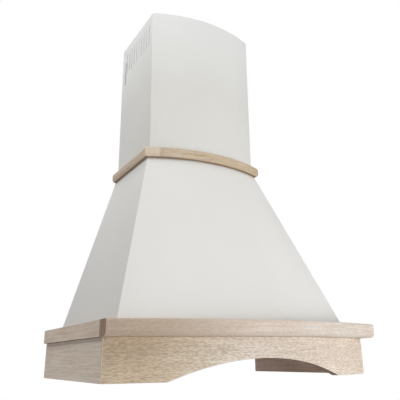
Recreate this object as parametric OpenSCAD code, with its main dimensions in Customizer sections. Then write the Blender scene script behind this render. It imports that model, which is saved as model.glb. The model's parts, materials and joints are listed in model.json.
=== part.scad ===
// Country style chimney hood: beech frame, sheet steel canopy and chimney, fan, filters and lamps.
// Millimetres, +Z up. Each piece is drawn with the wall at y = 0 and the front towards -Y. It is
// then moved so that the origin lies under the middle of the footprint, level with the skirt's edge.

/* [Beech rail and skirt] */
// Width across the rail
hood_w = 600; // [590:1:660]
// Depth from the wall to the rail's front corners
hood_corner_d = 420; // [415:1:460]
// How far the rail's front bows out past its corners
hood_bow = 55; // [45:1:65]
// Height of the rail
rail_h = 28; // [24:1:36]
// Thickness of the front rail
rail_t = 30; // [26:1:34]
// Width of each side rail
rail_side_w = 30; // [26:1:34]
// Round-over on the front rail's lower edge
rail_round_low = 10; // [4:1:14]
// Round-over on the front rail's upper edge
rail_round_high = 4.5; // [1:0.5:8]
// Height of the skirt under the rail
skirt_h = 72.5; // [65:0.5:100]
// Thickness of the skirt boards
skirt_t = 18; // [15:1:20]
// How far the skirt stands in from the rail's sides
skirt_side_set = 6.5; // [3:0.5:10]
// How far the skirt stands in from the rail's front
skirt_front_set = 35; // [32:0.5:38]
// Distance from the rail's side to the arch's end at the skirt's lower edge
arch_side = 112; // [90:1:150]
// Height of the arch in the middle
arch_h = 35.3; // [20:0.1:50]
// Leg of the glue blocks in the skirt's corners
block_leg = 28; // [18:1:35]

/* [Battens] */
// Width of the side battens
batten_side_w = 28; // [22:1:30]
// Width of the front batten
batten_front_w = 50; // [40:1:52]
// Depth of the rear batten
batten_rear_d = 20; // [15:1:21]

/* [Canopy] */
// Height of the canopy
canopy_h = 377.5; // [360:0.5:420]
// How far the canopy's foot stands in from the rail's sides
canopy_side_set = 37.5; // [34:0.5:42]
// How far the canopy's foot stands in from the rail's front
canopy_front_set = 43; // [40:0.5:48]
// How far the canopy's neck stands out round the chimney
neck_lap = 5.5; // [4:0.5:8]
// Thickness of the canopy's sheet
sheet_t = 1.2; // [0.8:0.1:2]
// Width of the canopy's inward flanges
flange_w = 20; // [14:1:24]

/* [Collar] */
// Height of the collar strips
collar_h = 26; // [20:1:32]
// How far the collar stands out round the chimney
collar_out = 15; // [12:1:20]
// Round-over on the collar's outer edges
collar_round = 9; // [3:0.5:11]

/* [Chimney] */
// Width of the chimney
chimney_w = 288; // [270:1:300]
// Depth from the wall to the chimney's front corners
chimney_corner_d = 208; // [205:1:215]
// How far the chimney's front bows out past its corners
chimney_bow = 31.5; // [28:0.5:36]
// Height of chimney that shows above the collar
chimney_show_h = 378; // [340:1:450]
// Length of chimney hidden below the collar's top
chimney_lap = 112; // [105:1:125]
// Thickness of the chimney's sheet
chimney_t = 1.2; // [0.8:0.1:2]
// Width of the chimney's rear return flanges
chimney_return_w = 18; // [10:1:20]
// Gap between the chimney and the neck it slides in
slide_gap = 0.4; // [0.3:0.1:0.8]
// Number of vent slots on each side
vent_count = 10; // [6:1:10]
// Spacing of the vent slots
vent_pitch = 17; // [14:0.5:18]
// Width of a vent slot
vent_w = 3.5; // [2:0.5:10]
// Length of a vent slot
vent_len = 62; // [40:1:80]
// Distance from the chimney's top down to the vent slots
vent_drop = 25; // [12:1:40]
// Distance from the wall to the middle of the first vent slot
vent_start = 34; // [34:1:40]
// Width of the narrow slot near the wall
seam_w = 4; // [2:0.5:6]
// Length of the narrow slot near the wall
seam_len = 72; // [40:1:90]
// Distance from the wall to the narrow slot
seam_y = 24; // [22:1:26]
// Distance from the chimney's top down to the narrow slot
seam_drop = 47; // [40:1:60]

/* [Rear panel and wall fixings] */
// Thickness of the rear panel
panel_t = 1.5; // [1:0.1:2.5]
// Radius of the wall fixing holes
wall_hole_r = 4.5; // [3:0.5:6]
// Spacing of the upper wall fixing holes
wall_upper_w = 280; // [260:2:300]
// Height of the upper wall fixing holes
wall_upper_z = 335; // [320:1:345]
// Distance from the rail's side to the lower wall fixing holes
wall_lower_side = 100; // [90:1:120]
// Height of the lower wall fixing holes
wall_lower_z = 135; // [125:1:150]
// Spacing of the chimney bracket's wall holes
bracket_hole_w = 180; // [120:2:200]
// Radius of the chimney bracket's wall holes
bracket_hole_r = 3.5; // [2.5:0.5:5]
// Height of the chimney bracket
bracket_h = 30; // [24:1:40]
// Distance from the chimney's top down to the bracket
bracket_drop = 66; // [60:1:80]

/* [Base panel and filters] */
// Thickness of the base panel
base_t = 1.2; // [0.8:0.1:1.5]
// Clearance between the base panel and the skirt
base_clear = 1; // [0.5:0.1:2]
// Distance from a filter to the side batten, which leaves room for its hinge clip
filter_side = 8; // [7.5:0.5:20]
// Distance from the rail's front corners back to the filters
filter_front = 125; // [124:1:150]
// Thickness of a filter
filter_t = 9; // [8:0.5:12]
// Width of the filter frame's bars
filter_bar = 13; // [11:1:16]
// Width of the filter frame's front bar, which holds the latch
filter_front_bar = 26; // [25:1:30]
// Thickness of the frame's lips over the mesh
filter_lip = 1; // [0.8:0.1:1.5]
// Depth of the groove that holds the mesh
filter_groove = 3; // [2:0.5:4]
// Clearance round a filter
filter_gap = 2; // [1.6:0.1:2.2]
// Half the width of the panel's bar between the filters
filter_middle = 12; // [12:0.5:13]
// Distance from the wall to the filters' hinge pins
filter_pin_y = 29; // [29:0.5:32]
// Distance from a filter's rear edge to its hinge pins
filter_tail = 4; // [3:0.5:4]
// Radius of the filters' hinge pins
filter_pin_r = 1.6; // [1.2:0.1:1.7]
// Spacing of the mesh bars
mesh_pitch = 16; // [12:1:20]
// Width of a mesh bar
mesh_bar = 1.5; // [1:0.5:3]
// Thickness of the hinge clips
clip_t = 2.5; // [1.5:0.1:2.6]
// Width of a latch tongue
latch_w = 32; // [26:1:40]
// Thickness of a latch tongue
latch_t = 3; // [2:0.1:3.2]
// Travel of a latch
latch_travel = 8; // [4:0.5:8]

/* [Controls and lamps] */
// Spacing of the push buttons
button_pitch = 22; // [20:0.5:23]
// Radius of a push button
button_r = 6; // [4:0.5:7]
// Travel of a push button
button_travel = 2.5; // [1.5:0.1:3]
// Distance from the rail's front corners back to the row of push buttons
control_set = 68; // [64:1:74]
// Width of the control bezel
bezel_w = 134; // [130:1:150]
// Depth of the control bezel
bezel_d = 34; // [30:1:38]
// Distance from the rail's side to each lamp
lamp_side = 125; // [122:1:150]
// Distance from the rail's front corners back to the lamps
lamp_set = 85; // [82:1:86]
// Outer radius of a lamp ring
lamp_ring_r = 30; // [28:1:32]
// Radius of a lamp body
lamp_body_r = 26; // [22:1:26]
// Height of a lamp body
lamp_body_h = 36; // [25:1:50]

/* [Fan] */
// Gap from the wall to the inside of the fan outlet
fan_wall_gap = 40; // [36:1:42]
// Depth and width of the fan outlet
outlet_d = 150; // [150:1:154]
// Height of the straight outlet above the fan's axis
outlet_h = 118; // [110:1:130]
// Smallest radius of the scroll
scroll_r0 = 82; // [80:1:84]
// Largest radius of the scroll
scroll_r1 = 125; // [120:1:126]
// Half the width of the scroll housing
housing_half = 77; // [77:1:80]
// Wall of the scroll housing
housing_t = 2.5; // [2:0.1:3]
// Radius of the scroll's inlets
inlet_r = 58; // [54:1:60]
// Radius of the impeller
impeller_r = 72; // [66:1:74]
// Half the width of the impeller
impeller_half = 52; // [45:1:60]
// Number of blades
blade_count = 32; // [20:1:40]
// Radial length of a blade
blade_len = 14; // [10:1:16]
// Radius of the motor
motor_r = 40; // [35:1:44]
// Radius of the motor shaft
shaft_r = 4; // [3:0.5:5]
// Running clearance of the shaft in its bearings
shaft_clear = 0.05; // [0.02:0.01:0.1]
// Outer radius of the outlet spigot
spigot_r = 74.5; // [70:0.5:75]
// Wall of the outlet spigot
spigot_t = 2; // [1.5:0.1:2.5]
// Height of the outlet spigot
spigot_h = 58; // [50:1:80]
// Radius of the damper rods
rod_r = 1.5; // [1:0.1:2]

/* [Hidden] */
$fn = 64;
// Facets of the large arcs, where the outline's own curve shows
arc_fn = 256;
// Overlap of a cut past the face it opens
cut = 1;
// Clearance between pieces on different bodies
gap = 0.3;

// Radius of an arc from its chord and its rise
function bow_r(chord, rise) = (chord * chord / 4 + rise * rise) / (2 * rise);

beech = [0.84, 0.76, 0.68];
beech_inner = [0.72, 0.62, 0.52];
cream = [0.90, 0.90, 0.87];
zinc = [0.70, 0.71, 0.72];
steel = [0.76, 0.76, 0.76];
alloy = [0.80, 0.81, 0.82];
dark = [0.20, 0.20, 0.21];

hood_d = hood_corner_d + hood_bow;
front_r = bow_r(hood_w, hood_bow);
front_cy = front_r - hood_d;
rail_z0 = skirt_h;
rail_z1 = rail_z0 + rail_h;
rail_in = hood_w / 2 - rail_side_w;
skirt_half = hood_w / 2 - skirt_side_set;
skirt_in = skirt_half - skirt_t;
skirt_out_r = front_r - skirt_front_set;
skirt_in_r = skirt_out_r - skirt_t;
skirt_corner_y = front_cy - sqrt(pow(skirt_out_r, 2) - pow(skirt_half, 2));
skirt_corner_in_y = front_cy - sqrt(pow(skirt_in_r, 2) - pow(skirt_in, 2));
arch_half_w = hood_w / 2 - arch_side;
arch_r = bow_r(2 * arch_half_w, arch_h);
batten_in = rail_in - batten_side_w;

chimney_d = chimney_corner_d + chimney_bow;
chimney_r = bow_r(chimney_w, chimney_bow);
chimney_cy = chimney_r - chimney_d;
canopy_z0 = rail_z1;
canopy_z1 = canopy_z0 + canopy_h;
collar_z1 = canopy_z1 + collar_h;
chimney_z1 = collar_z1 + chimney_show_h;
chimney_z0 = collar_z1 - chimney_lap;
chimney_h = chimney_show_h + chimney_lap;
canopy_half0 = hood_w / 2 - canopy_side_set;
canopy_half1 = chimney_w / 2 + neck_lap;
canopy_r0 = hood_d - canopy_front_set + chimney_cy;
canopy_r1 = chimney_r + neck_lap;
side_slope = (canopy_half0 - canopy_half1) / canopy_h;
cone_slope = (canopy_r0 - canopy_r1) / canopy_h;
side_k = sqrt(1 + side_slope * side_slope);
cone_k = sqrt(1 + cone_slope * cone_slope);
function canopy_half(z) = canopy_half0 - side_slope * (z - canopy_z0);
function canopy_r(z) = canopy_r0 - cone_slope * (z - canopy_z0);

// The chimney rests, and the fan's outlet flange below them
rest_w = 8;
rest_t = 2;
rest_leg = 26;
rest_y0 = -150;
rest_y1 = -110;
rest_z1 = chimney_z0 - gap;
housing_z1 = rest_z1 - 11.7;
outlet_rear_y = -fan_wall_gap;
outlet_front_y = outlet_rear_y - outlet_d;
spigot_y = (outlet_rear_y + outlet_front_y) / 2;
fan_y = outlet_rear_y - scroll_r1;
fan_z = housing_z1 - outlet_h;
// Angle at which the scroll starts
tongue_a = acos((outlet_front_y - fan_y) / scroll_r0);
spigot_flange_t = 3;
spigot_z0 = housing_z1 + spigot_flange_t;

base_z1 = skirt_h;
base_z0 = base_z1 - base_t;
panel_front_y = -sheet_t - panel_t;
panel_z1 = housing_z1;
filter_x0 = filter_middle + filter_gap;
filter_x1 = batten_in - filter_side;
filter_w = filter_x1 - filter_x0;
filter_y1 = -filter_pin_y + filter_tail;
filter_y0 = -hood_corner_d + filter_front;
opening_x0 = filter_middle;
opening_x1 = filter_x1 + filter_gap;
opening_y0 = filter_y0 - filter_gap;
opening_y1 = filter_y1 + filter_gap + 1;
filter_mid_x = (filter_x0 + filter_x1) / 2;
filter_z0 = base_z0 - 1.3;
filter_z1 = filter_z0 + filter_t;
filter_pin_z = filter_z0 + filter_t / 2;
latch_z0 = base_z1 + gap;
latch_tip_y = opening_y0 + gap;
latch_pocket_y = filter_y0 + filter_front_bar - filter_groove - 1.5;
latch_back_y = latch_pocket_y - latch_travel - gap;
stem_w = 19.4;
stem_d = 6;
stem_y = filter_y0 + 3;
grip_w = 30;
grip_h = 6;
grip_d = 9;

button_count = 5;
control_y = hood_corner_d - control_set;
lamp_x = hood_w / 2 - lamp_side;
lamp_y = hood_corner_d - lamp_set;
bezel_t = 1.5;
bezel_body_h = 8.5;
bezel_body_w = bezel_w - 8;
bezel_body_d = bezel_d - 8;
bezel_z1 = base_z0 + bezel_body_h + base_t;
button_out = 2.2;
button_flange = 1.3;
button_cap_t = 1.7;
switch_h = 22;

screw_head_r = 4;
screw_head_h = 2;
screw_r = 2;
screw_len = 16;
hole_gap = 0.1;
// Distances from the wall to the screw rows, and from the middle to the front and rear screws
base_screw_rows = [60, 190, 320];
canopy_screw_rows = [90, 250];
sheet_screw_rows = [170, 255, 345];
front_screw_x = 110;
rear_screw_x = 100;
front_screw_set = 12;
// Length of a cut that goes through any of the rear sheets
through = 10;

// Moves a piece from the wall's frame to the part's own
module place() {
    translate([0, hood_d / 2, 0]) children();
}

// A box between two corners
module box(a, b) {
    translate(a) cube(b - a);
}

// A solid under the bowed front, from x0 to x1 and back to the wall
module under_front(inset, x0, x1, z0, h) {
    intersection() {
        box([x0, -hood_d - cut, z0], [x1, 0, z0 + h]);
        translate([0, front_cy, z0 - cut])
            cylinder(r = front_r - inset, h = h + 2 * cut, $fn = arc_fn);
    }
}

// A bowed bar that follows the front, between two insets
module front_bar(inset, thick, half_w, z0, h) {
    difference() {
        under_front(inset, -half_w, half_w, z0, h);
        translate([0, front_cy, z0 - cut])
            cylinder(r = front_r - inset - thick, h = h + 2 * cut, $fn = arc_fn);
    }
}

// Section of a strip with its two outer corners rounded over, inner face at x = 0
module rounded_section(w, h, r_low, r_high) {
    difference() {
        square([w, h]);
        translate([w - r_low, 0]) difference() {
            translate([0, -cut]) square([r_low + cut, r_low + cut]);
            translate([0, r_low]) circle(r = r_low);
        }
        translate([w - r_high, h - r_high]) difference() {
            square([r_high + cut, r_high + cut]);
            circle(r = r_high);
        }
    }
}

// The canopy's solid, set in by a sheet's thickness and run on past its ends
module canopy_solid(inset, over) {
    z0 = canopy_z0 - over;
    z1 = canopy_z1 + over;
    w0 = canopy_half(z0) - inset * side_k;
    w1 = canopy_half(z1) - inset * side_k;
    intersection() {
        translate([0, chimney_cy, z0])
            cylinder(h = z1 - z0, r1 = canopy_r(z0) - inset * cone_k,
                r2 = canopy_r(z1) - inset * cone_k, $fn = arc_fn);
        translate([0, over, 0]) rotate([90, 0, 0])
            linear_extrude(height = hood_d + over)
                polygon([[-w0, z0], [w0, z0], [w1, z1], [-w1, z1]]);
    }
}

// The chimney's outline as a solid, grown all round
module chimney_solid(grow, z0, h) {
    half = chimney_w / 2 + grow;
    intersection() {
        box([-half, -chimney_d - grow - cut, z0], [half, 0, z0 + h]);
        translate([0, chimney_cy, z0 - cut])
            cylinder(r = chimney_r + grow, h = h + 2 * cut, $fn = arc_fn);
    }
}

module rail_front() {
    color(beech) place() intersection() {
        box([-hood_w / 2, -hood_d - cut, rail_z0 - cut], [hood_w / 2, 0, rail_z1 + cut]);
        translate([0, front_cy, rail_z0])
            rotate_extrude($fn = arc_fn) translate([front_r - rail_t, 0])
                rounded_section(rail_t, rail_h, rail_round_low, rail_round_high);
    }
}

module side_rail() {
    under_front(rail_t, rail_in, hood_w / 2, rail_z0, rail_h);
}
module rail_left() {
    color(beech) place() mirror([1, 0, 0]) side_rail();
}
module rail_right() {
    color(beech) place() side_rail();
}

// Cuts the right end of the front skirt to its mitre
module mitre_cut() {
    dx = skirt_half - skirt_in;
    dy = skirt_corner_y - skirt_corner_in_y;
    translate([0, 0, -cut]) linear_extrude(height = skirt_h + 2 * cut)
        polygon([
            [skirt_in, skirt_corner_in_y], [skirt_in + 2 * dx, skirt_corner_in_y + 2 * dy],
            [skirt_in + 2 * dx, 0], [skirt_in, 0]
        ]);
}

module skirt_front() {
    color(beech) place() difference() {
        front_bar(skirt_front_set, skirt_t, skirt_half, 0, skirt_h);
        mitre_cut();
        mirror([1, 0, 0]) mitre_cut();
        translate([0, 0, arch_h - arch_r]) rotate([90, 0, 0])
            cylinder(r = arch_r, h = hood_d + cut, $fn = arc_fn);
    }
}

module side_skirt() {
    linear_extrude(height = skirt_h) polygon([
        [skirt_in, 0], [skirt_in, skirt_corner_in_y], [skirt_half, skirt_corner_y], [skirt_half, 0]
    ]);
}
module skirt_left() {
    color(beech) place() mirror([1, 0, 0]) side_skirt();
}
module skirt_right() {
    color(beech) place() side_skirt();
}

// Places of the screws that hold the base panel to the battens
module base_screw_places() {
    side_x = (rail_in + batten_in) / 2;
    front_y = front_cy - sqrt(pow(skirt_in_r - front_screw_set, 2) - pow(front_screw_x, 2));
    for (s = [-1, 1]) {
        for (row = base_screw_rows) translate([s * side_x, -row, base_z0]) children();
        translate([s * front_screw_x, front_y, base_z0]) children();
        translate([s * rear_screw_x, -batten_rear_d / 2, base_z0]) children();
    }
}

// Places of the screws that hold the canopy's foot to the battens, head upwards
module canopy_screw_places() {
    side_x = canopy_half(canopy_z0) - flange_w / 2;
    front_y = chimney_cy - sqrt(pow(canopy_r0 - flange_w / 2, 2) - pow(front_screw_x, 2));
    for (s = [-1, 1]) {
        for (row = canopy_screw_rows) translate([s * side_x, -row, canopy_z0 + sheet_t]) children();
        translate([s * front_screw_x, front_y, canopy_z0 + sheet_t]) children();
    }
}

module screw_holes() {
    base_screw_places() translate([0, 0, -cut])
        cylinder(r = screw_r + hole_gap, h = screw_len + cut, $fn = 24);
    canopy_screw_places() translate([0, 0, -screw_len])
        cylinder(r = screw_r + hole_gap, h = screw_len + cut, $fn = 24);
}

module side_batten() {
    difference() {
        under_front(rail_t + batten_front_w, batten_in, rail_in, rail_z0, rail_h);
        screw_holes();
    }
}
module batten_left() {
    color(beech_inner) place() mirror([1, 0, 0]) side_batten();
}
module batten_right() {
    color(beech_inner) place() side_batten();
}
module batten_front() {
    color(beech_inner) place() difference() {
        front_bar(rail_t, batten_front_w, rail_in, rail_z0, rail_h);
        screw_holes();
    }
}
module batten_rear() {
    color(beech_inner) place() difference() {
        box([-batten_in, -batten_rear_d, rail_z0], [batten_in, 0, rail_z1]);
        screw_holes();
    }
}

// A glue block between the skirt boards, held back from their edges
block_z0 = 8;
block_h = skirt_h - base_t - 12;
module corner_block() {
    y0 = skirt_corner_in_y - 20;
    y1 = skirt_corner_in_y + block_leg;
    intersection() {
        under_front(skirt_front_set + skirt_t, 0, skirt_in, block_z0, block_h);
        linear_extrude(height = skirt_h)
            polygon([[skirt_in, y0], [skirt_in, y1], [skirt_in - block_leg - 8, y0]]);
    }
}
module corner_blocks() {
    color(beech_inner) place() {
        corner_block();
        mirror([1, 0, 0]) corner_block();
    }
}

module canopy_shell() {
    color(cream) place() difference() {
        canopy_solid(0, 0);
        canopy_solid(flange_w, cut);
        intersection() {
            canopy_solid(sheet_t, 0);
            box([-hood_w, -hood_d, canopy_z0 + sheet_t], [hood_w, -sheet_t, canopy_z1 - sheet_t]);
        }
        chimney_solid(slide_gap, rest_z1 - rest_t, canopy_z1 - rest_z1 + rest_t + cut);
        canopy_screw_places() translate([0, 0, -sheet_t - cut])
            cylinder(r = screw_r + hole_gap, h = sheet_t + 2 * cut, $fn = 24);
        sheet_screw_places() translate([0, -cut, 0]) rotate([-90, 0, 0])
            cylinder(r = screw_r + hole_gap, h = through, $fn = 24);
    }
}

// Keeps the collar's front strip up to its mitre with the right side strip
module collar_mitre() {
    x0 = chimney_w / 2 + slide_gap;
    x1 = chimney_w / 2 + collar_out;
    y0 = chimney_cy - sqrt(pow(chimney_r + slide_gap, 2) - x0 * x0);
    y1 = chimney_cy - sqrt(pow(chimney_r + collar_out, 2) - x1 * x1);
    dx = x1 - x0;
    dy = y1 - y0;
    translate([0, 0, canopy_z1 - cut]) linear_extrude(height = collar_h + 2 * cut)
        polygon([[x0 - dx, y0 - dy], [x1 + dx, y1 + dy], [x1 + dx, 0], [x0 - dx, 0]]);
}

module collar_front() {
    color(beech) place() difference() {
        intersection() {
            box([-chimney_w / 2 - collar_out, -chimney_d - collar_out - cut, canopy_z1 - cut],
                [chimney_w / 2 + collar_out, 0, collar_z1 + cut]);
            translate([0, chimney_cy, canopy_z1])
                rotate_extrude($fn = arc_fn) translate([chimney_r + slide_gap, 0])
                    rounded_section(collar_out - slide_gap, collar_h, collar_round, collar_round);
        }
        collar_mitre();
        mirror([1, 0, 0]) collar_mitre();
    }
}

module side_collar() {
    intersection() {
        translate([chimney_w / 2 + slide_gap, 0, canopy_z1]) rotate([90, 0, 0])
            linear_extrude(height = chimney_d)
                rounded_section(collar_out - slide_gap, collar_h, collar_round, collar_round);
        collar_mitre();
    }
}
module collar_left() {
    color(beech) place() mirror([1, 0, 0]) side_collar();
}
module collar_right() {
    color(beech) place() side_collar();
}

// One steel rest: a tab under the chimney's side wall with a leg down the canopy's side
module neck_rest() {
    intersection() {
        canopy_solid(sheet_t, 0);
        union() {
            box([chimney_w / 2 - rest_w, rest_y0, rest_z1 - rest_t], [hood_w / 2, rest_y1, rest_z1]);
            difference() {
                box([chimney_w / 2, rest_y0, rest_z1 - rest_leg], [hood_w / 2, rest_y1, rest_z1]);
                canopy_solid(sheet_t + rest_t, cut);
            }
        }
    }
}
module neck_rests() {
    color(zinc) place() {
        neck_rest();
        mirror([1, 0, 0]) neck_rest();
    }
}

// Places of the screws that hold the rear panel to the canopy's return flanges
module sheet_screw_places() {
    for (s = [-1, 1], z = sheet_screw_rows)
        translate([s * (canopy_half(z) - flange_w / 2), panel_front_y, z]) children();
}

gland_x = -150;
gland_z = 122;
gland_r = 8;
gland_bore_r = 4.5;
gland_flange_r = gland_r + 4;
gland_flange_t = 3;
gland_out = 8;
module rear_panel() {
    color(zinc) place() difference() {
        intersection() {
            canopy_solid(sheet_t, 0);
            box([-hood_w, panel_front_y, canopy_z0 + sheet_t], [hood_w, -sheet_t, panel_z1]);
        }
        for (s = [-1, 1]) {
            translate([s * wall_upper_w / 2, cut, wall_upper_z]) rotate([90, 0, 0])
                cylinder(r = wall_hole_r, h = through);
            translate([s * (hood_w / 2 - wall_lower_side), cut, wall_lower_z]) rotate([90, 0, 0])
                cylinder(r = wall_hole_r, h = through);
        }
        translate([gland_x, cut, gland_z]) rotate([90, 0, 0]) cylinder(r = gland_r, h = through);
        sheet_screw_places() translate([0, -cut, 0]) rotate([-90, 0, 0])
            cylinder(r = screw_r + hole_gap, h = through, $fn = 24);
    }
}

bracket_z0 = chimney_z1 - bracket_drop - bracket_h;
bracket_t = 2;
bracket_arm = 14;
bracket_y = -chimney_t - bracket_t;
// Places of the screws that hold the bracket to the chimney's return flanges
module chimney_screw_places() {
    for (s = [-1, 1])
        translate([s * (chimney_w / 2 - chimney_t - 8), bracket_y, bracket_z0 + bracket_h / 2])
            children();
}

// A slot with round ends across both sides of the chimney
module side_slot(y, w, z0, len) {
    across = chimney_w + 2 * cut;
    box([-across / 2, y - w / 2, z0 + w / 2], [across / 2, y + w / 2, z0 + len - w / 2]);
    for (z = [z0 + w / 2, z0 + len - w / 2])
        translate([-across / 2, y, z]) rotate([0, 90, 0]) cylinder(r = w / 2, h = across, $fn = 24);
}

module chimney_shell() {
    color(cream) place() difference() {
        chimney_solid(0, chimney_z0, chimney_h);
        intersection() {
            chimney_solid(-chimney_t, chimney_z0 - cut, chimney_h + 2 * cut);
            box([-hood_w, -hood_d, chimney_z0 - cut], [hood_w, -chimney_t, chimney_z1 + cut]);
        }
        box([-chimney_w / 2 + chimney_return_w, -chimney_t - cut, chimney_z0 - cut],
            [chimney_w / 2 - chimney_return_w, cut, chimney_z1 + cut]);
        for (i = [0 : vent_count - 1])
            side_slot(-vent_start - i * vent_pitch, vent_w, chimney_z1 - vent_drop - vent_len, vent_len);
        side_slot(-seam_y, seam_w, chimney_z1 - seam_drop - seam_len, seam_len);
        chimney_screw_places() translate([0, -cut, 0]) rotate([-90, 0, 0])
            cylinder(r = screw_r + hole_gap, h = through, $fn = 24);
    }
}

module chimney_bracket() {
    half = chimney_w / 2 - chimney_t;
    z1 = bracket_z0 + bracket_h;
    color(zinc) place() difference() {
        union() {
            box([-half, bracket_y, bracket_z0], [half, -chimney_t, z1]);
            for (s = [-1, 1]) translate([s * (half - bracket_t / 2), 0, 0])
                box([-bracket_t / 2, bracket_y - bracket_arm, bracket_z0],
                    [bracket_t / 2, bracket_y + 0.5, z1]);
        }
        for (s = [-1, 1])
            translate([s * bracket_hole_w / 2, cut, bracket_z0 + bracket_h / 2]) rotate([90, 0, 0])
                cylinder(r = bracket_hole_r, h = through);
        chimney_screw_places() translate([0, -cut, 0]) rotate([-90, 0, 0])
            cylinder(r = screw_r + hole_gap, h = through, $fn = 24);
    }
}

// A pan-head screw, shank along +Z
module screw(len) {
    translate([0, 0, -screw_head_h]) cylinder(r = screw_head_r, h = screw_head_h, $fn = 32);
    cylinder(r = screw_r, h = len, $fn = 24);
}
module chimney_screws() {
    color(zinc) place() chimney_screw_places() rotate([-90, 0, 0]) screw(-bracket_y);
}
module sheet_screws() {
    color(zinc) place() sheet_screw_places() rotate([-90, 0, 0]) screw(-panel_front_y);
}
module wood_screws() {
    color(zinc) place() {
        base_screw_places() screw(screw_len - cut);
        canopy_screw_places() rotate([180, 0, 0]) screw(screw_len - cut);
    }
}

module base_panel() {
    inset = skirt_front_set + skirt_t + base_clear;
    half = skirt_in - base_clear;
    color(steel) place() difference() {
        under_front(inset, -half, half, base_z0, base_t);
        for (s = [0, 1]) mirror([s, 0, 0])
            box([opening_x0, opening_y0, base_z0 - cut], [opening_x1, opening_y1, base_z1 + cut]);
        translate([0, -control_y, 0])
            box([-bezel_body_w / 2 - gap, -bezel_body_d / 2 - gap, base_z0 - cut],
                [bezel_body_w / 2 + gap, bezel_body_d / 2 + gap, base_z1 + cut]);
        for (s = [-1, 1]) translate([s * lamp_x, -lamp_y, base_z0 - cut])
            cylinder(r = lamp_body_r + gap, h = base_t + 2 * cut);
        base_screw_places() translate([0, 0, -cut])
            cylinder(r = screw_r + hole_gap, h = base_t + 2 * cut, $fn = 24);
    }
}

clip_half_d = 4;
clip_over_pin = 6;
// One hinge clip standing beside a filter, bored for the filter's pin
module filter_clip(x0) {
    difference() {
        box([x0, -filter_pin_y - clip_half_d, base_z1],
            [x0 + clip_t, -filter_pin_y + clip_half_d, filter_pin_z + clip_over_pin]);
        translate([x0 - cut, -filter_pin_y, filter_pin_z]) rotate([0, 90, 0])
            cylinder(r = filter_pin_r + hole_gap, h = clip_t + 2 * cut);
    }
}
clip_out = filter_gap + 0.8;
clip_inner_x = filter_x0 - clip_out - clip_t;
clip_outer_x = filter_x1 + clip_out;
module filter_clips() {
    color(zinc) place() for (s = [0, 1]) mirror([s, 0, 0]) {
        filter_clip(clip_inner_x);
        filter_clip(clip_outer_x);
    }
}

// Space that the mesh fills inside a filter frame
module mesh_space(grow) {
    box([filter_x0 + filter_bar - grow, filter_y0 + filter_front_bar - grow, filter_z0 + filter_lip],
        [filter_x1 - filter_bar + grow, filter_y1 - filter_bar + grow, filter_z1 - filter_lip]);
}

module filter_frame() {
    difference() {
        union() {
            box([filter_x0, filter_y0, filter_z0], [filter_x1, filter_y1, filter_z1]);
            translate([filter_x0 - clip_out - clip_t, -filter_pin_y, filter_pin_z]) rotate([0, 90, 0])
                cylinder(r = filter_pin_r, h = filter_w + 2 * (clip_out + clip_t));
        }
        box([filter_x0 + filter_bar, filter_y0 + filter_front_bar, filter_z0 - cut],
            [filter_x1 - filter_bar, filter_y1 - filter_bar, filter_z1 + cut]);
        mesh_space(filter_groove);
        translate([filter_mid_x, 0, 0]) {
            box([-latch_w / 2 - gap, filter_y0 - cut, latch_z0 - gap],
                [latch_w / 2 + gap, latch_pocket_y, latch_z0 + latch_t + gap]);
            box([-stem_w / 2 - gap, stem_y - gap, filter_z0 - cut],
                [stem_w / 2 + gap, stem_y + stem_d + latch_travel + gap, latch_z0]);
        }
    }
}
module filter_frame_left() {
    color(alloy) place() mirror([1, 0, 0]) filter_frame();
}
module filter_frame_right() {
    color(alloy) place() filter_frame();
}

// Two crossed layers of bars inside a border, which the frame's groove holds
module filter_mesh() {
    x0 = filter_x0 + filter_bar - filter_groove;
    x1 = filter_x1 - filter_bar + filter_groove;
    y0 = filter_y0 + filter_front_bar - filter_groove;
    y1 = filter_y1 - filter_bar + filter_groove;
    z0 = filter_z0 + filter_lip;
    z1 = filter_z1 - filter_lip;
    zm = (z0 + z1) / 2;
    nx = floor((x1 - x0 - 2 * filter_groove) / mesh_pitch);
    ny = floor((y1 - y0 - 2 * filter_groove) / mesh_pitch);
    difference() {
        mesh_space(filter_groove);
        box([x0 + filter_groove, y0 + filter_groove, z0 - cut],
            [x1 - filter_groove, y1 - filter_groove, z1 + cut]);
    }
    for (i = [1 : nx]) translate([x0 + i * (x1 - x0) / (nx + 1), 0, 0])
        box([-mesh_bar / 2, y0 + 1, z0 + 1], [mesh_bar / 2, y1 - 1, zm]);
    for (j = [1 : ny]) translate([0, y0 + j * (y1 - y0) / (ny + 1), 0])
        box([x0 + 1, -mesh_bar / 2, zm], [x1 - 1, mesh_bar / 2, z1 - 1]);
}
module filter_mesh_left() {
    color(alloy) place() mirror([1, 0, 0]) filter_mesh();
}
module filter_mesh_right() {
    color(alloy) place() filter_mesh();
}

// A sliding tongue with a stem down through the frame to a finger grip
module filter_latch() {
    translate([filter_mid_x, 0, 0]) {
        box([-latch_w / 2, latch_tip_y, latch_z0], [latch_w / 2, latch_back_y, latch_z0 + latch_t]);
        box([-stem_w / 2, stem_y, filter_z0 - gap - grip_h], [stem_w / 2, stem_y + stem_d, latch_z0 + 1]);
        box([-grip_w / 2, stem_y, filter_z0 - gap - grip_h], [grip_w / 2, stem_y + grip_d, filter_z0 - gap]);
    }
}
module filter_latch_left() {
    color(dark) place() mirror([1, 0, 0]) filter_latch();
}
module filter_latch_right() {
    color(dark) place() filter_latch();
}

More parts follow.
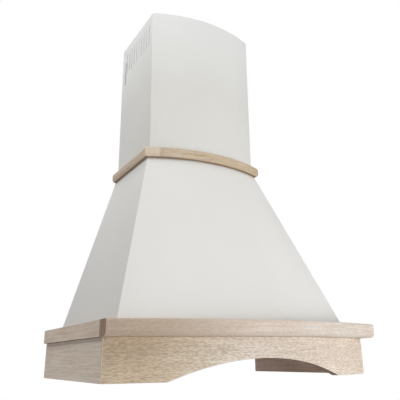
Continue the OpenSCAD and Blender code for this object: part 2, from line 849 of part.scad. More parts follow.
function button_x(i) = (i - (button_count + 1) / 2) * button_pitch;
module control_bezel() {
    color(dark) place() translate([0, -control_y, 0]) difference() {
        union() {
            box([-bezel_w / 2, -bezel_d / 2, base_z0 - bezel_t], [bezel_w / 2, bezel_d / 2, base_z0]);
            box([-bezel_body_w / 2, -bezel_body_d / 2, base_z0 - cut],
                [bezel_body_w / 2, bezel_body_d / 2, bezel_z1]);
        }
        for (i = [1 : button_count]) translate([button_x(i), 0, base_z0 - bezel_t - cut])
            cylinder(r = button_r + gap, h = bezel_body_h + bezel_t + base_t + 2 * cut);
    }
}
module switch_block() {
    room = gap + button_cap_t + button_travel + 0.5;
    color([0.75, 0.74, 0.70]) place() translate([0, -control_y, bezel_z1]) difference() {
        box([-bezel_body_w / 2, -bezel_body_d / 2, 0], [bezel_body_w / 2, bezel_body_d / 2, switch_h]);
        box([-bezel_body_w / 2 + 3, -bezel_body_d / 2 + 3, -cut],
            [bezel_body_w / 2 - 3, bezel_body_d / 2 - 3, room]);
    }
}
module button(i) {
    z0 = base_z0 - bezel_t - button_out;
    color([0.85, 0.85, 0.83]) place() translate([button_x(i), -control_y, 0]) {
        translate([0, 0, z0]) cylinder(r = button_r, h = bezel_z1 + gap + button_cap_t - z0);
        translate([0, 0, bezel_z1 + gap]) cylinder(r = button_r + button_flange, h = button_cap_t);
    }
}

lamp_lip = 1;
lamp_wall = 2;
lamp_z0 = base_z0 - 2 * lamp_lip;
module lamp_place(s) {
    translate([s * lamp_x, -lamp_y, 0]) children();
}
module lamp_ring() {
    color(steel) difference() {
        translate([0, 0, lamp_z0]) cylinder(r = lamp_ring_r, h = 2 * lamp_lip);
        translate([0, 0, lamp_z0 - cut]) cylinder(r = lamp_body_r - lamp_wall - 2, h = 4);
        translate([0, 0, lamp_z0 + lamp_lip]) cylinder(r = lamp_body_r - lamp_wall, h = 4);
    }
}
module lamp_lens() {
    color([0.9, 0.92, 0.95, 0.6]) translate([0, 0, lamp_z0 + lamp_lip])
        cylinder(r = lamp_body_r - lamp_wall, h = 2 * lamp_lip);
}
module lamp_body() {
    color(zinc) difference() {
        translate([0, 0, base_z0]) cylinder(r = lamp_body_r, h = lamp_body_h);
        translate([0, 0, base_z0 - cut])
            cylinder(r = lamp_body_r - lamp_wall, h = lamp_body_h + cut - lamp_wall);
    }
}
module lamp_ring_left() {
    place() lamp_place(-1) lamp_ring();
}
module lamp_ring_right() {
    place() lamp_place(1) lamp_ring();
}
module lamp_lens_left() {
    place() lamp_place(-1) lamp_lens();
}
module lamp_lens_right() {
    place() lamp_place(1) lamp_lens();
}
module lamp_body_left() {
    place() lamp_place(-1) lamp_body();
}
module lamp_body_right() {
    place() lamp_place(1) lamp_body();
}

// The scroll grows evenly from its tongue round to the outlet's rear wall
function scroll_r(a) = scroll_r0 + (scroll_r1 - scroll_r0) * (a - tongue_a) / (360 - tongue_a);
function scroll_start(grow) = acos((outlet_front_y - grow - fan_y) / (scroll_r0 + grow));
function scroll_points(grow, top) = concat(
    [for (i = [0 : 42]) let (a = scroll_start(grow) + (360 - scroll_start(grow)) * i / 42)
        [fan_y + (scroll_r(a) + grow) * cos(a), fan_z + (scroll_r(a) + grow) * sin(a)]],
    [[outlet_rear_y + grow, top], [outlet_front_y - grow, top]]);

module scroll_solid(grow, x0, x1, top) {
    translate([x0, 0, 0]) rotate([90, 0, 90]) linear_extrude(height = x1 - x0)
        polygon(scroll_points(grow, top));
}
module along_x(x0, x1, r) {
    translate([x0, fan_y, fan_z]) rotate([0, 90, 0]) cylinder(r = r, h = x1 - x0);
}

inlet_lip = 6;
module blower_housing() {
    difference() {
        union() {
            difference() {
                scroll_solid(housing_t, 0, housing_half, housing_z1);
                scroll_solid(0, -cut, housing_half - housing_t, housing_z1 + cut);
            }
            along_x(housing_half - housing_t - inlet_lip, housing_half, inlet_r + 3);
        }
        along_x(housing_half - housing_t - inlet_lip - cut, housing_half + cut, inlet_r);
    }
}
module blower_housing_left() {
    color(dark) place() mirror([1, 0, 0]) blower_housing();
}
module blower_housing_right() {
    color(dark) place() blower_housing();
}

channel_half = 60;
channel_t = 2;
upper_channel_drop = 50;
upper_channel_h = 40;
lower_channel_rise = 3;
lower_channel_h = 30;
// A channel that spans from the rear panel to the scroll's rear wall
module blower_bracket(z0, h) {
    y0 = outlet_rear_y + housing_t;
    difference() {
        box([-channel_half, y0, z0], [channel_half, panel_front_y, z0 + h]);
        box([-channel_half - cut, y0 + channel_t, z0 + channel_t],
            [channel_half + cut, panel_front_y - channel_t, z0 + h - channel_t]);
    }
}
module blower_brackets() {
    color(zinc) place() {
        blower_bracket(housing_z1 - upper_channel_drop, upper_channel_h);
        blower_bracket(fan_z + lower_channel_rise, lower_channel_h);
    }
}

hub_r = 11;
hub_x0 = -10;
hub_x1 = 8;
rim_t = 3;
blade_t = 1.2;
blade_angle = 35;
// A middle disc with a hub, two rims, and blades that reach from rim to rim
module impeller() {
    rim_x = impeller_half - rim_t / 2;
    color([0.55, 0.56, 0.58]) place() difference() {
        union() {
            along_x(-1, 1, impeller_r - 1);
            along_x(hub_x0, hub_x1, hub_r);
            for (s = [-1, 1]) difference() {
                along_x(s * rim_x - rim_t / 2, s * rim_x + rim_t / 2, impeller_r);
                along_x(-hood_w, hood_w, impeller_r - blade_len + 2);
            }
            for (i = [0 : blade_count - 1])
                translate([0, fan_y, fan_z]) rotate([i * 360 / blade_count, 0, 0])
                    translate([0, 0, impeller_r - blade_len]) rotate([blade_angle, 0, 0])
                        box([1 - impeller_half, -blade_t / 2, 0],
                            [impeller_half - 1, blade_t / 2, blade_len - 2]);
        }
        along_x(-hood_w, hood_w, shaft_r);
    }
}

motor_x0 = 14;
motor_x1 = 62;
motor_wall = 2;
motor_boss_r = 14;
core_end = 12;
rotor_r = motor_r * 0.6 - 0.6;
bearing_r = 8;
bearing_len = 8;
bearing_wall = 3;
module motor_shaft() {
    color(steel) place() along_x(-12, motor_x1 - motor_wall - 1, shaft_r);
}
module motor_rotor() {
    color(zinc) place() difference() {
        along_x(motor_x0 + core_end, motor_x1 - core_end, rotor_r);
        along_x(motor_x0, motor_x1, shaft_r);
    }
}
module motor_stator() {
    color([0.45, 0.38, 0.34]) place() difference() {
        along_x(motor_x0 + core_end, motor_x1 - core_end, motor_r - motor_wall);
        along_x(motor_x0, motor_x1, motor_r * 0.6);
    }
}
module motor_case() {
    color(zinc) place() difference() {
        union() {
            difference() {
                along_x(motor_x0, motor_x1, motor_r);
                along_x(motor_x0 + motor_wall, motor_x1 - motor_wall, motor_r - motor_wall);
            }
            along_x(motor_x0, motor_x0 + bearing_len, bearing_r + bearing_wall);
            along_x(motor_x1 - bearing_len - motor_wall, motor_x1, bearing_r + bearing_wall);
            along_x(motor_x1 - cut, housing_half, motor_boss_r);
        }
        along_x(motor_x0 - cut, motor_x0 + bearing_len + cut, bearing_r);
        along_x(motor_x1 - bearing_len - motor_wall - cut, motor_x1 - motor_wall, bearing_r);
    }
}
module motor_bearings() {
    color([0.72, 0.58, 0.34]) place() difference() {
        union() {
            along_x(motor_x0, motor_x0 + bearing_len, bearing_r);
            along_x(motor_x1 - bearing_len - motor_wall, motor_x1 - motor_wall, bearing_r);
        }
        along_x(motor_x0 - cut, motor_x1, shaft_r + shaft_clear);
    }
}
// A three-armed spider across the right inlet
module motor_bracket() {
    t = 2.5;
    arm_half = 6;
    color(zinc) place() {
        along_x(housing_half, housing_half + t, motor_boss_r + 4);
        difference() {
            along_x(housing_half, housing_half + t, inlet_r + 12);
            along_x(housing_half - cut, housing_half + t + cut, inlet_r);
        }
        for (a = [0, 120, 240]) translate([housing_half, fan_y, fan_z]) rotate([a, 0, 0])
            box([0, -arm_half, motor_boss_r], [t, arm_half, inlet_r + 4]);
    }
}

rod_y = rod_r + 3;
barrel_r = rod_r + 1.5;
ledge_z1 = spigot_z0 + 7;
flap_t = 1.2;
flap_z0 = ledge_z1 + gap;
rod_z = flap_z0 + flap_t + rod_r + 0.4;
flap_r = spigot_r - spigot_t - 2.5;
flap_clear = 0.08;
ledge_w = 6;
module outlet_collar() {
    half = housing_half;
    bore = spigot_r - spigot_t;
    color(dark) place() difference() {
        union() {
            box([-half, outlet_front_y - housing_t, housing_z1],
                [half, outlet_rear_y + housing_t, spigot_z0]);
            translate([0, spigot_y, housing_z1])
                cylinder(r = spigot_r, h = spigot_flange_t + spigot_h, $fn = 128);
        }
        translate([0, spigot_y, ledge_z1]) cylinder(r = bore, h = spigot_h, $fn = 128);
        translate([0, spigot_y, housing_z1 - cut]) cylinder(r = bore - ledge_w, h = spigot_h, $fn = 128);
        translate([0, spigot_y, housing_z1 - cut])
            cylinder(r = bore, h = ledge_z1 - housing_z1 - 1, $fn = 128);
        for (s = [-1, 1]) translate([-spigot_r - cut, spigot_y + s * rod_y, rod_z]) rotate([0, 90, 0])
            cylinder(r = rod_r, h = 2 * (spigot_r + cut), $fn = 24);
    }
}
rod_half = sqrt(pow(spigot_r - 0.3, 2) - pow(rod_y + rod_r, 2));
module damper_rods() {
    color(steel) place() for (s = [-1, 1])
        translate([-rod_half, spigot_y + s * rod_y, rod_z]) rotate([0, 90, 0])
            cylinder(r = rod_r, h = 2 * rod_half, $fn = 24);
}
// A half disc with a barrel round its rod, on the wall side
module damper_flap() {
    barrel_half = flap_r - 7;
    difference() {
        union() {
            intersection() {
                translate([0, 0, flap_z0]) cylinder(r = flap_r, h = flap_t, $fn = 128);
                box([-spigot_r, rod_y, flap_z0 - cut], [spigot_r, spigot_r, flap_z0 + flap_t + cut]);
            }
            translate([-barrel_half, rod_y, rod_z]) rotate([0, 90, 0])
                cylinder(r = barrel_r, h = 2 * barrel_half, $fn = 32);
        }
        translate([-spigot_r, rod_y, rod_z]) rotate([0, 90, 0])
            cylinder(r = rod_r + flap_clear, h = 2 * spigot_r, $fn = 24);
    }
}
module damper_flap_rear() {
    color(alloy) place() translate([0, spigot_y, 0]) damper_flap();
}
module damper_flap_front() {
    color(alloy) place() translate([0, spigot_y, 0]) mirror([0, 1, 0]) damper_flap();
}

// A closed box on the rear panel with a cable hole in its floor
junction_size = [90, 45, 80];
junction_z = 175;
junction_x = 26 - canopy_half(junction_z + junction_size[2]);
junction_at = [junction_x, panel_front_y, junction_z];
junction_wall = 2.5;
junction_hole_r = 5;
module junction_box() {
    w = junction_wall;
    color([0.80, 0.80, 0.78]) place() translate(junction_at) difference() {
        box([0, -junction_size[1], 0], [junction_size[0], 0, junction_size[2]]);
        box([w, w - junction_size[1], w], [junction_size[0] - w, -w, junction_size[2] - w]);
        translate([junction_size[0] / 2, -20, -cut])
            cylinder(r = junction_hole_r, h = w + 2 * cut, $fn = 32);
    }
}

// A round capacitor held on the rear panel by its foot
capacitor_at = [135, panel_front_y, 190];
capacitor_r = 15;
capacitor_h = 62;
capacitor_foot = [20, 12, 40];
module capacitor() {
    color([0.9, 0.9, 0.88]) place() translate(capacitor_at) {
        translate([0, -capacitor_r - 5, 0]) cylinder(r = capacitor_r, h = capacitor_h);
        translate([-capacitor_foot[0] / 2, -capacitor_foot[1], 10]) cube(capacitor_foot);
    }
}
module cable_gland() {
    color(dark) place() translate([gland_x, 0, gland_z]) rotate([90, 0, 0]) difference() {
        union() {
            cylinder(r = gland_r, h = gland_out - panel_front_y, $fn = 48);
            cylinder(r = gland_flange_r, h = sheet_t, $fn = 48);
            translate([0, 0, -panel_front_y]) cylinder(r = gland_flange_r, h = gland_flange_t, $fn = 48);
        }
        translate([0, 0, -cut])
            cylinder(r = gland_bore_r, h = gland_out - panel_front_y + 2 * cut, $fn = 48);
    }
}

module button_1() {
    button(1);
}
module button_2() {
    button(2);
}
module button_3() {
    button(3);
}
module button_4() {
    button(4);
}
module button_5() {
    button(5);
}

rail_front();
rail_left();
rail_right();
skirt_front();
skirt_left();
skirt_right();
batten_front();
batten_left();
batten_right();
batten_rear();
corner_blocks();
canopy_shell();
collar_front();
collar_left();
collar_right();
neck_rests();
rear_panel();
chimney_shell();
chimney_bracket();
chimney_screws();
base_panel();
filter_clips();
filter_frame_left();
filter_mesh_left();
filter_latch_left();
filter_frame_right();
filter_mesh_right();
filter_latch_right();
control_bezel();
switch_block();
button_1();
button_2();
button_3();
button_4();
button_5();
lamp_ring_left();
lamp_lens_left();
lamp_body_left();
lamp_ring_right();
lamp_lens_right();
lamp_body_right();
blower_housing_left();
blower_housing_right();
blower_brackets();
impeller();
motor_shaft();
motor_rotor();
motor_case();
motor_stator();
motor_bearings();
motor_bracket();
outlet_collar();
damper_rods();
damper_flap_front();
damper_flap_rear();
junction_box();
capacitor();
cable_gland();
wood_screws();
sheet_screws();
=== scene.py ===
# %% [markdown]
# A country style chimney hood in Blender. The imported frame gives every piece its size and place, in
# metres, with the wall towards +Y. A hood that is modelled freely would drift from these measures. So
# this lesson dresses the frame: first come the camera and light, then the finishes, then the pieces.

# %% Load the frame
import json
import math

import bpy
from mathutils import Matrix, Vector

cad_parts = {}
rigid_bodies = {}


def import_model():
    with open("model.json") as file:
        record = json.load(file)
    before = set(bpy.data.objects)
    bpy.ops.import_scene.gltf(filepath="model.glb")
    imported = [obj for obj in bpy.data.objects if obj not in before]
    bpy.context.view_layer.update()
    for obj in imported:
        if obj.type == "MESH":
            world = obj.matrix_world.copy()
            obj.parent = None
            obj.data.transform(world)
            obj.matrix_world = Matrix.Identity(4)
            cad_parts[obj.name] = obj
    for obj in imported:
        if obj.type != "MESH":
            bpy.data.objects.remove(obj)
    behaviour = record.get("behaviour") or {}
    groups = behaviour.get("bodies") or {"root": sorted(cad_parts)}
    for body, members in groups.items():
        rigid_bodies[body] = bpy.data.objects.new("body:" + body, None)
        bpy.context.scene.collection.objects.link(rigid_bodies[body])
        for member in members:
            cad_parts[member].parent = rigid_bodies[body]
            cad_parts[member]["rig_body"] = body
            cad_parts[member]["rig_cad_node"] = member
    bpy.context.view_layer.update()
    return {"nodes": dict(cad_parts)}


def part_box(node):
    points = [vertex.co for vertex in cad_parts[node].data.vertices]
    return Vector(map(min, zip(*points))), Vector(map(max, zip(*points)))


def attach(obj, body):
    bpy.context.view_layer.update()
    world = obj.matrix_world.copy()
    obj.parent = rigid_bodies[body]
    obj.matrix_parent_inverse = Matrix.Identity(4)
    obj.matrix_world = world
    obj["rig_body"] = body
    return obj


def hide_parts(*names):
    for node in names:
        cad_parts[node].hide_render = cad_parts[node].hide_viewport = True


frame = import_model()

# %% [markdown]
# The photograph was taken from the hood's front left, with the lens a little above the skirt's lower
# edge and looking up. A camera that is placed by eye would miss most edges. This one's turn and place
# come from lines whose real lengths are known: the rail, the chimney's corners and the canopy's
# edges. A small shift puts the lens axis back where the picture was cropped around it. Angles are in
# radians.

# %% The camera
YAW, PITCH, ROLL = 0.532, 0.332, -0.016
LENS_PIXELS, PICTURE_PIXELS, SENSOR_MM = 512.75, 400, 36
CAMERA_PLACE = (-0.58088, -1.00376, 0.03847)

forward = Vector((math.sin(YAW) * math.cos(PITCH), math.cos(YAW) * math.cos(PITCH), math.sin(PITCH)))
right = forward.cross(Vector((0, 0, 1))).normalized()
up = right.cross(forward)
rolled_right = right * math.cos(ROLL) + up * math.sin(ROLL)
rolled_up = up * math.cos(ROLL) - right * math.sin(ROLL)
lens = bpy.data.cameras.new("camera")
lens.sensor_width = SENSOR_MM
lens.lens = LENS_PIXELS / PICTURE_PIXELS * SENSOR_MM
lens.shift_x, lens.shift_y = -0.032, -0.0494
lens.clip_start = 0.01
camera = bpy.data.objects.new("camera", lens)
turn = Matrix((rolled_right, rolled_up, -forward)).transposed()
camera.matrix_world = Matrix.Translation(CAMERA_PLACE) @ turn.to_4x4()
bpy.context.scene.collection.objects.link(camera)
bpy.context.scene.camera = camera
print("camera: lens", round(lens.lens, 1), "mm")

# %% [markdown]
# The hood stands in a plain studio. Its front is evenly lit, its left side falls off towards the
# bottom, and nothing throws a hard shadow. Sun lamps would, so square area lamps are used: the larger
# such a lamp is, the softer its shadow. One is broad and above the front, two are low with a narrow
# spread, a small one fades down the left side, and one stands behind.

# %% The studio's lamps
def soft_light(name, place, target, size, power, spread=180):
    data = bpy.data.lights.new(name, "AREA")
    data.shape = "SQUARE"
    data.size = size
    data.energy = power
    data.spread = math.radians(spread)
    light = bpy.data.objects.new(name, data)
    light.location = place
    light.rotation_euler = (Vector(target) - Vector(place)).to_track_quat("-Z", "Y").to_euler()
    bpy.context.scene.collection.objects.link(light)
    print(name, "sends", power, "watts")


NARROW = 80
soft_light("top_light", (-0.5, -2.1, 2.9), (0, -0.1, 0.45), 2.0, 31)
soft_light("key_light", (1.3, -1.15, -0.3), (0.1, -0.1, 0.2), 0.7, 1.9, NARROW)
soft_light("front_light", (0.4, -2.4, 0.0), (0, -0.1, 0.4), 1.2, 3.1, NARROW)
soft_light("side_light", (-1.2, 0.3, 1.3), (0, 0, 0.6), 0.6, 7)
soft_light("back_light", (0.6, 2.6, 1.8), (0, 0, 0.4), 2.0, 14)

# %% [markdown]
# The room round the hood and all its finishes are networks of nodes. They could be wired by hand in
# the editor, but code gives the same network on each run. These helpers make a node in one line: a
# value that is a socket gets wired, and any other is typed in.

# %% Helpers for nodes
def feed(tree, socket, value):
    if isinstance(value, bpy.types.NodeSocket):
        tree.links.new(value, socket)
    else:
        socket.default_value = value


def node(tree, kind, inputs=None, **settings):
    made = tree.nodes.new(kind)
    for name, value in settings.items():
        setattr(made, name, value)
    for key, value in (inputs or {}).items():
        feed(tree, made.inputs[key], value)
    return made


def maths(tree, operation, a, b=0.0, clamp=False):
    return node(tree, "ShaderNodeMath", {0: a, 1: b}, operation=operation, use_clamp=clamp).outputs[0]


def between(tree, value, low, high, to_low=0.0, to_high=1.0):
    return node(tree, "ShaderNodeMapRange", {"Value": value, "From Min": low, "From Max": high,
        "To Min": to_low, "To Max": to_high}).outputs[0]


# %% [markdown]
# In the photograph the background is pure white, but the hood's side is grey, so a room that is white
# all over would light it too much. Grey cards round the hood would show in other views. A world that
# tells rays apart needs nothing built: the camera, and what is seen through glass, gets white. Other
# rays get a bright ceiling, dim walls and a grey floor.

# %% The white room
FLOOR_LIGHT, WALL_LIGHT, CEILING_LIGHT = 0.50, 0.12, 0.69
world = bpy.data.worlds.new("white_room")
bpy.context.scene.world = world
world.use_nodes = True
room = world.node_tree
room.nodes.clear()
ray = node(room, "ShaderNodeLightPath").outputs
seen = maths(room, "MAXIMUM", ray["Is Camera Ray"], ray["Is Transmission Ray"])
towards = node(room, "ShaderNodeTexCoord").outputs["Generated"]
height = node(room, "ShaderNodeSeparateXYZ", {0: towards}).outputs["Z"]
floor_to_wall = between(room, height, -0.05, 0.05, FLOOR_LIGHT, WALL_LIGHT)
wall_to_ceiling = between(room, height, 0.55, 0.65, 0.0, CEILING_LIGHT - WALL_LIGHT)
dim = maths(room, "ADD", floor_to_wall, wall_to_ceiling)
strength = between(room, seen, 0.0, 1.0, dim, 1.0)
sky = node(room, "ShaderNodeBackground", {"Color": (1, 1, 1, 1), "Strength": strength})
room.links.new(sky.outputs[0], node(room, "ShaderNodeOutputWorld").inputs[0])
bpy.context.scene.view_settings.view_transform = "Standard"
print("room:", len(room.nodes), "nodes")

# %% [markdown]
# A pattern such as beech grain shows in several materials, each with tones of its own. Its nodes could
# be copied into every material, but then a change means many edits. So each pattern is a node group,
# which takes coordinates and tones and gives a colour, a roughness and a normal. The Principled shader
# stays in the material, where the export can read it. Colours are measured on screen in steps of 255,
# and srgb() turns them into the linear light that shaders reckon with.

# %% Helpers for finishes
def times(tree, a, b, clamp=False):
    return maths(tree, "MULTIPLY", a, b, clamp)


def blend_colour(tree, factor, a, b):
    return node(tree, "ShaderNodeMix", {0: factor, 6: a, 7: b}, data_type="RGBA").outputs[2]


def noise(tree, vector, scale, detail=2.0, rough=0.5, twist=0.0):
    return node(tree, "ShaderNodeTexNoise", {"Vector": vector, "Scale": scale, "Detail": detail,
        "Roughness": rough, "Distortion": twist}).outputs[0]


def stretched(tree, vector, scale, turn=(0, 0, 0), shift=(0, 0, 0)):
    return node(tree, "ShaderNodeMapping", {"Vector": vector, "Scale": scale, "Rotation": turn,
        "Location": shift}).outputs[0]


def bumped(tree, height, strength, depth):
    return node(tree, "ShaderNodeBump", {"Strength": strength, "Distance": depth,
        "Height": height}).outputs[0]


def srgb(red, green, blue):
    def linear(value):
        value /= 255
        return value / 12.92 if value <= 0.04045 else ((value + 0.055) / 1.055) ** 2.4
    return (linear(red), linear(green), linear(blue), 1.0)


def new_group(name, takes, gives):
    tree = bpy.data.node_groups.new(name, "ShaderNodeTree")
    kinds = {"c": "NodeSocketColor", "v": "NodeSocketVector", "f": "NodeSocketFloat"}
    for way, sockets in (("INPUT", takes), ("OUTPUT", gives)):
        for label, kind in sockets.items():
            tree.interface.new_socket(label, in_out=way, socket_type=kinds[kind])
    start = tree.nodes.new("NodeGroupInput")
    end = tree.nodes.new("NodeGroupOutput")
    return tree, start.outputs, end.inputs


def new_material(name):
    material = bpy.data.materials.new(name)
    material.use_nodes = True
    tree = material.node_tree
    tree.nodes.clear()
    shader = tree.nodes.new("ShaderNodeBsdfPrincipled")
    out = tree.nodes.new("ShaderNodeOutputMaterial")
    tree.links.new(shader.outputs[0], out.inputs[0])
    return material, tree, shader


def wear(tree, pattern, shader):
    for given, socket in (("Color", "Base Color"), ("Roughness", "Roughness"), ("Normal", "Normal")):
        tree.links.new(pattern.outputs[given], shader.inputs[socket])


LOOKS = {"Color": "c", "Roughness": "f", "Normal": "v"}
print("middle grey in linear light:", round(srgb(128, 128, 128)[0], 3))


# %% [markdown]
# A beech board has its grain along its length. It could be unwrapped, but then its cut faces would show
# seams. The object's own coordinates run through the solid without any. The group expects the grain
# along X. On faces that look up or down, the board's width lies along Y instead of Z, and the two
# change places.

# %% Coordinates of a board
def board_space(tree, vector, facing_up):
    along, out, high = node(tree, "ShaderNodeSeparateXYZ", {0: vector}).outputs[:3]
    lying = between(tree, facing_up, 0.6, 0.8)
    across = node(tree, "ShaderNodeMix", {0: lying, 2: high, 3: out}).outputs[0]
    into = node(tree, "ShaderNodeMix", {0: lying, 2: out, 3: high}).outputs[0]
    solid = node(tree, "ShaderNodeCombineXYZ", {0: along, 1: into, 2: across}).outputs[0]
    face = node(tree, "ShaderNodeCombineXYZ", {0: along, 1: across}).outputs[0]
    return solid, face


# Steps of each pattern in a metre: along the grain, into the board, across it.
TONE_STEPS, LINE_STEPS, WAVER_STEPS = (6, 9, 18), (9, 60, 300), (60, 100, 420)
PORE_STEPS, RING_STEPS = (260, 800, 2400), (1, 34, 6)
RAY_STEPS = (92, 640, 1)  # along and across the face
print("the rays lie about", round(1000 / RAY_STEPS[0]), "mm apart along the grain")


# %% [markdown]
# Unfinished beech is pale and pinkish, with faint growth lines, a slow change of tone, and thousands
# of short dark flecks where its rays are cut. Sawn ends are darker and show rings. A photograph of
# wood would repeat. Here stretched noise gives the tone, the lines and the pores. The flecks are the
# centres of Voronoi cells, which keep apart from each other as rays do, and a second noise makes them
# uneven. A wave texture gives the rings.

# %% The beech grain group
FLECK_DARKNESS, PORE_DARKNESS, RING_CONTRAST = 0.74, 0.22, 0.50


def make_beech_group():
    tree, take, give = new_group("beech_grain",
        {"Vector": "v", "Normal Along Grain": "f", "Normal Up": "f", "Pale": "c", "Deep": "c",
         "End": "c", "Flecks": "f", "Lines": "f"},
        {"Color": "c", "Roughness": "f", "Height": "f"})
    solid, face = board_space(tree, take["Vector"], take["Normal Up"])
    tone = noise(tree, stretched(tree, solid, TONE_STEPS), 1.0, 3.0, 0.6, 0.4)
    lines = noise(tree, stretched(tree, solid, LINE_STEPS), 1.0, 3.0, 0.55, 0.5)
    stripe = times(tree, between(tree, lines, 0.34, 0.66), take["Lines"])
    grain = maths(tree, "ADD", stripe, times(tree, between(tree, tone, 0.3, 0.7), 0.30))
    board = blend_colour(tree, grain, take["Pale"], take["Deep"])

    rays = node(tree, "ShaderNodeTexVoronoi", {"Vector": stretched(tree, face, RAY_STEPS),
        "Scale": 1.0}, voronoi_dimensions="2D").outputs[0]
    waver = times(tree, noise(tree, stretched(tree, solid, WAVER_STEPS), 1.0, 2.0, 0.5), 0.45)
    flecks = maths(tree, "SUBTRACT", waver, times(tree, rays, 0.60))
    dashes = times(tree, between(tree, flecks, -0.03, 0.10), take["Flecks"], True)
    pores = noise(tree, stretched(tree, solid, PORE_STEPS), 1.0, 2.0, 0.6)
    specks = times(tree, between(tree, pores, 0.50, 0.66), take["Flecks"], True)
    board = blend_colour(tree, times(tree, dashes, FLECK_DARKNESS), board, take["End"])
    board = blend_colour(tree, times(tree, specks, PORE_DARKNESS), board, take["End"])

    rings = node(tree, "ShaderNodeTexWave", {"Vector": stretched(tree, solid, RING_STEPS),
        "Scale": 1.0, "Distortion": 2.5, "Detail": 3.0}, bands_direction="Y").outputs[1]
    sawn = blend_colour(tree, times(tree, rings, RING_CONTRAST), take["End"], take["Deep"])
    is_end = between(tree, take["Normal Along Grain"], 0.75, 0.9)
    feed(tree, give["Color"], blend_colour(tree, is_end, board, sawn))
    fibre = maths(tree, "ADD", lines, dashes)
    feed(tree, give["Roughness"], between(tree, fibre, 0.2, 1.6, 0.58, 0.78))
    hollow = maths(tree, "ADD", times(tree, dashes, 0.5), times(tree, specks, 0.2))
    feed(tree, give["Height"], maths(tree, "SUBTRACT", times(tree, lines, 0.6), hollow))
    return tree


beech_group = make_beech_group()
print("group:", beech_group.name, len(beech_group.nodes), "nodes")


# %% [markdown]
# In the photograph the front boards, the rail and the canopy get paler to the right, and the chimney
# towards its top. More lamps could do that, but each would light its neighbours too. So a group lets
# one tone drift into another between two places along an axis, in metres. On the canopy and the chimney
# that drift is painted light. On the skirt and the rail it is partly the boards' own tone and partly
# painted light, and on the collar it is the wood's own tone.

# %% The tone drift group
def make_drift_group():
    tree, take, give = new_group("tone_drift",
        {"Along": "f", "Start": "f", "Stop": "f", "From": "c", "To": "c"}, {"Color": "c"})
    share = between(tree, take["Along"], take["Start"], take["Stop"])
    feed(tree, give["Color"], blend_colour(tree, share, take["From"], take["To"]))
    return tree


drift_group = make_drift_group()
print("group:", drift_group.name, len(drift_group.nodes), "nodes")


def drifting(tree, along, start, stop, tone, other):
    return node(tree, "ShaderNodeGroup", {"Along": along, "Start": start, "Stop": stop,
        "From": tone, "To": other}, node_tree=drift_group).outputs[0]


# %% [markdown]
# The boards come from different planks, so their tones differ. One material for all would run on from
# board to board like a print. So each gets a material of its own that places the group with its tones,
# its share of flecks and lines, and a shift into the pattern. Boards that run towards the wall are
# turned sideways.

# %% A material for one board
END = srgb(132, 102, 80)


# Three tones drift from left to right. On the skirt and the rail this is partly the board's own tone
# and partly painted light; on the collar it is the wood's own tone.
def tone_along(tree, where, pales):
    if len(pales) == 1:
        return pales[0]
    side = node(tree, "ShaderNodeSeparateXYZ", {0: where}).outputs[0]
    left = drifting(tree, side, -0.23, -0.03, pales[0], pales[1])
    return drifting(tree, side, 0.0, 0.16, left, pales[2])


def make_beech(name, pales, deep, flecks, lines, shift, sideways=False, tilt=0.0, end=END):
    material, tree, shader = new_material(name)
    where = node(tree, "ShaderNodeTexCoord").outputs
    grain_way = (0, 1, 0) if sideways else (1, 0, 0)
    turn = (0, tilt, math.pi / 2 if sideways else 0)
    along = node(tree, "ShaderNodeVectorMath", {0: where["Normal"], 1: grain_way},
        operation="DOT_PRODUCT").outputs["Value"]
    upward = node(tree, "ShaderNodeSeparateXYZ", {0: where["Normal"]}).outputs[2]
    pattern = node(tree, "ShaderNodeGroup", {
        "Vector": stretched(tree, where["Object"], (1, 1, 1), turn, shift),
        "Normal Along Grain": maths(tree, "ABSOLUTE", along),
        "Normal Up": maths(tree, "ABSOLUTE", upward),
        "Pale": tone_along(tree, where["Object"], pales),
        "Deep": deep, "End": end, "Flecks": flecks, "Lines": lines}, node_tree=beech_group)
    feed(tree, shader.inputs["Base Color"], pattern.outputs["Color"])
    feed(tree, shader.inputs["Roughness"], pattern.outputs["Roughness"])
    feed(tree, shader.inputs["Normal"], bumped(tree, pattern.outputs["Height"], 0.45, 0.0003))
    shader.inputs["Specular IOR Level"].default_value = 0.35
    return material


# %% [markdown]
# The outer boards are planed and sanded. One tone each would be simplest, but the front ones drift
# through three from left to right. On the skirt and the rail that drift is partly the boards' own tone
# and partly painted light, brighter to the right where the light falls; on the collar it is the wood's
# own tone. All tones were compared in the render and the photograph until both agreed.

# %% The outer boards
# The skirt front gets paler to the right: partly its own tone, partly painted light.
beech_front = make_beech("beech_front_board",
    [srgb(232, 215, 187), srgb(255, 249, 239), srgb(252, 242, 231)], srgb(196, 172, 146),
    0.56, 0.40, (0, 0, 0), end=srgb(150, 112, 80))
beech_side = make_beech("beech_side_board", [srgb(238, 224, 209)], srgb(208, 191, 175),
    0.20, 0.70, (0.3, 0.1, 0.2), sideways=True)
# The rail gets paler to the right, darkest at its left end: partly its own tone, partly painted light.
beech_rail = make_beech("beech_rail",
    [srgb(184, 166, 148), srgb(232, 220, 210), srgb(235, 232, 225)], srgb(204, 183, 162),
    0.22, 0.60, (1.7, 0.4, 0.6))
beech_rail_side = make_beech("beech_rail_side", [srgb(232, 216, 200)], srgb(206, 188, 170),
    0.20, 0.80, (0.8, 0.9, 0.1), sideways=True)
beech_collar = make_beech("beech_collar",
    [srgb(225, 210, 188), srgb(225, 210, 188), srgb(212, 196, 168)], srgb(186, 162, 130),
    0.35, 0.75, (2.3, 0.2, 0.9), tilt=0.03)
beech_joint = make_beech("beech_collar_joint", [srgb(234, 220, 200)], srgb(206, 186, 162),
    0.25, 0.40, (1.1, 1.4, 0.3))
beech_collar_side = make_beech("beech_collar_side", [srgb(228, 215, 201)], srgb(192, 172, 148),
    0.3, 0.80, (0.2, 1.9, 0.4), sideways=True)
print("outer boards:", [name for name in bpy.data.materials.keys() if name.startswith("beech")])
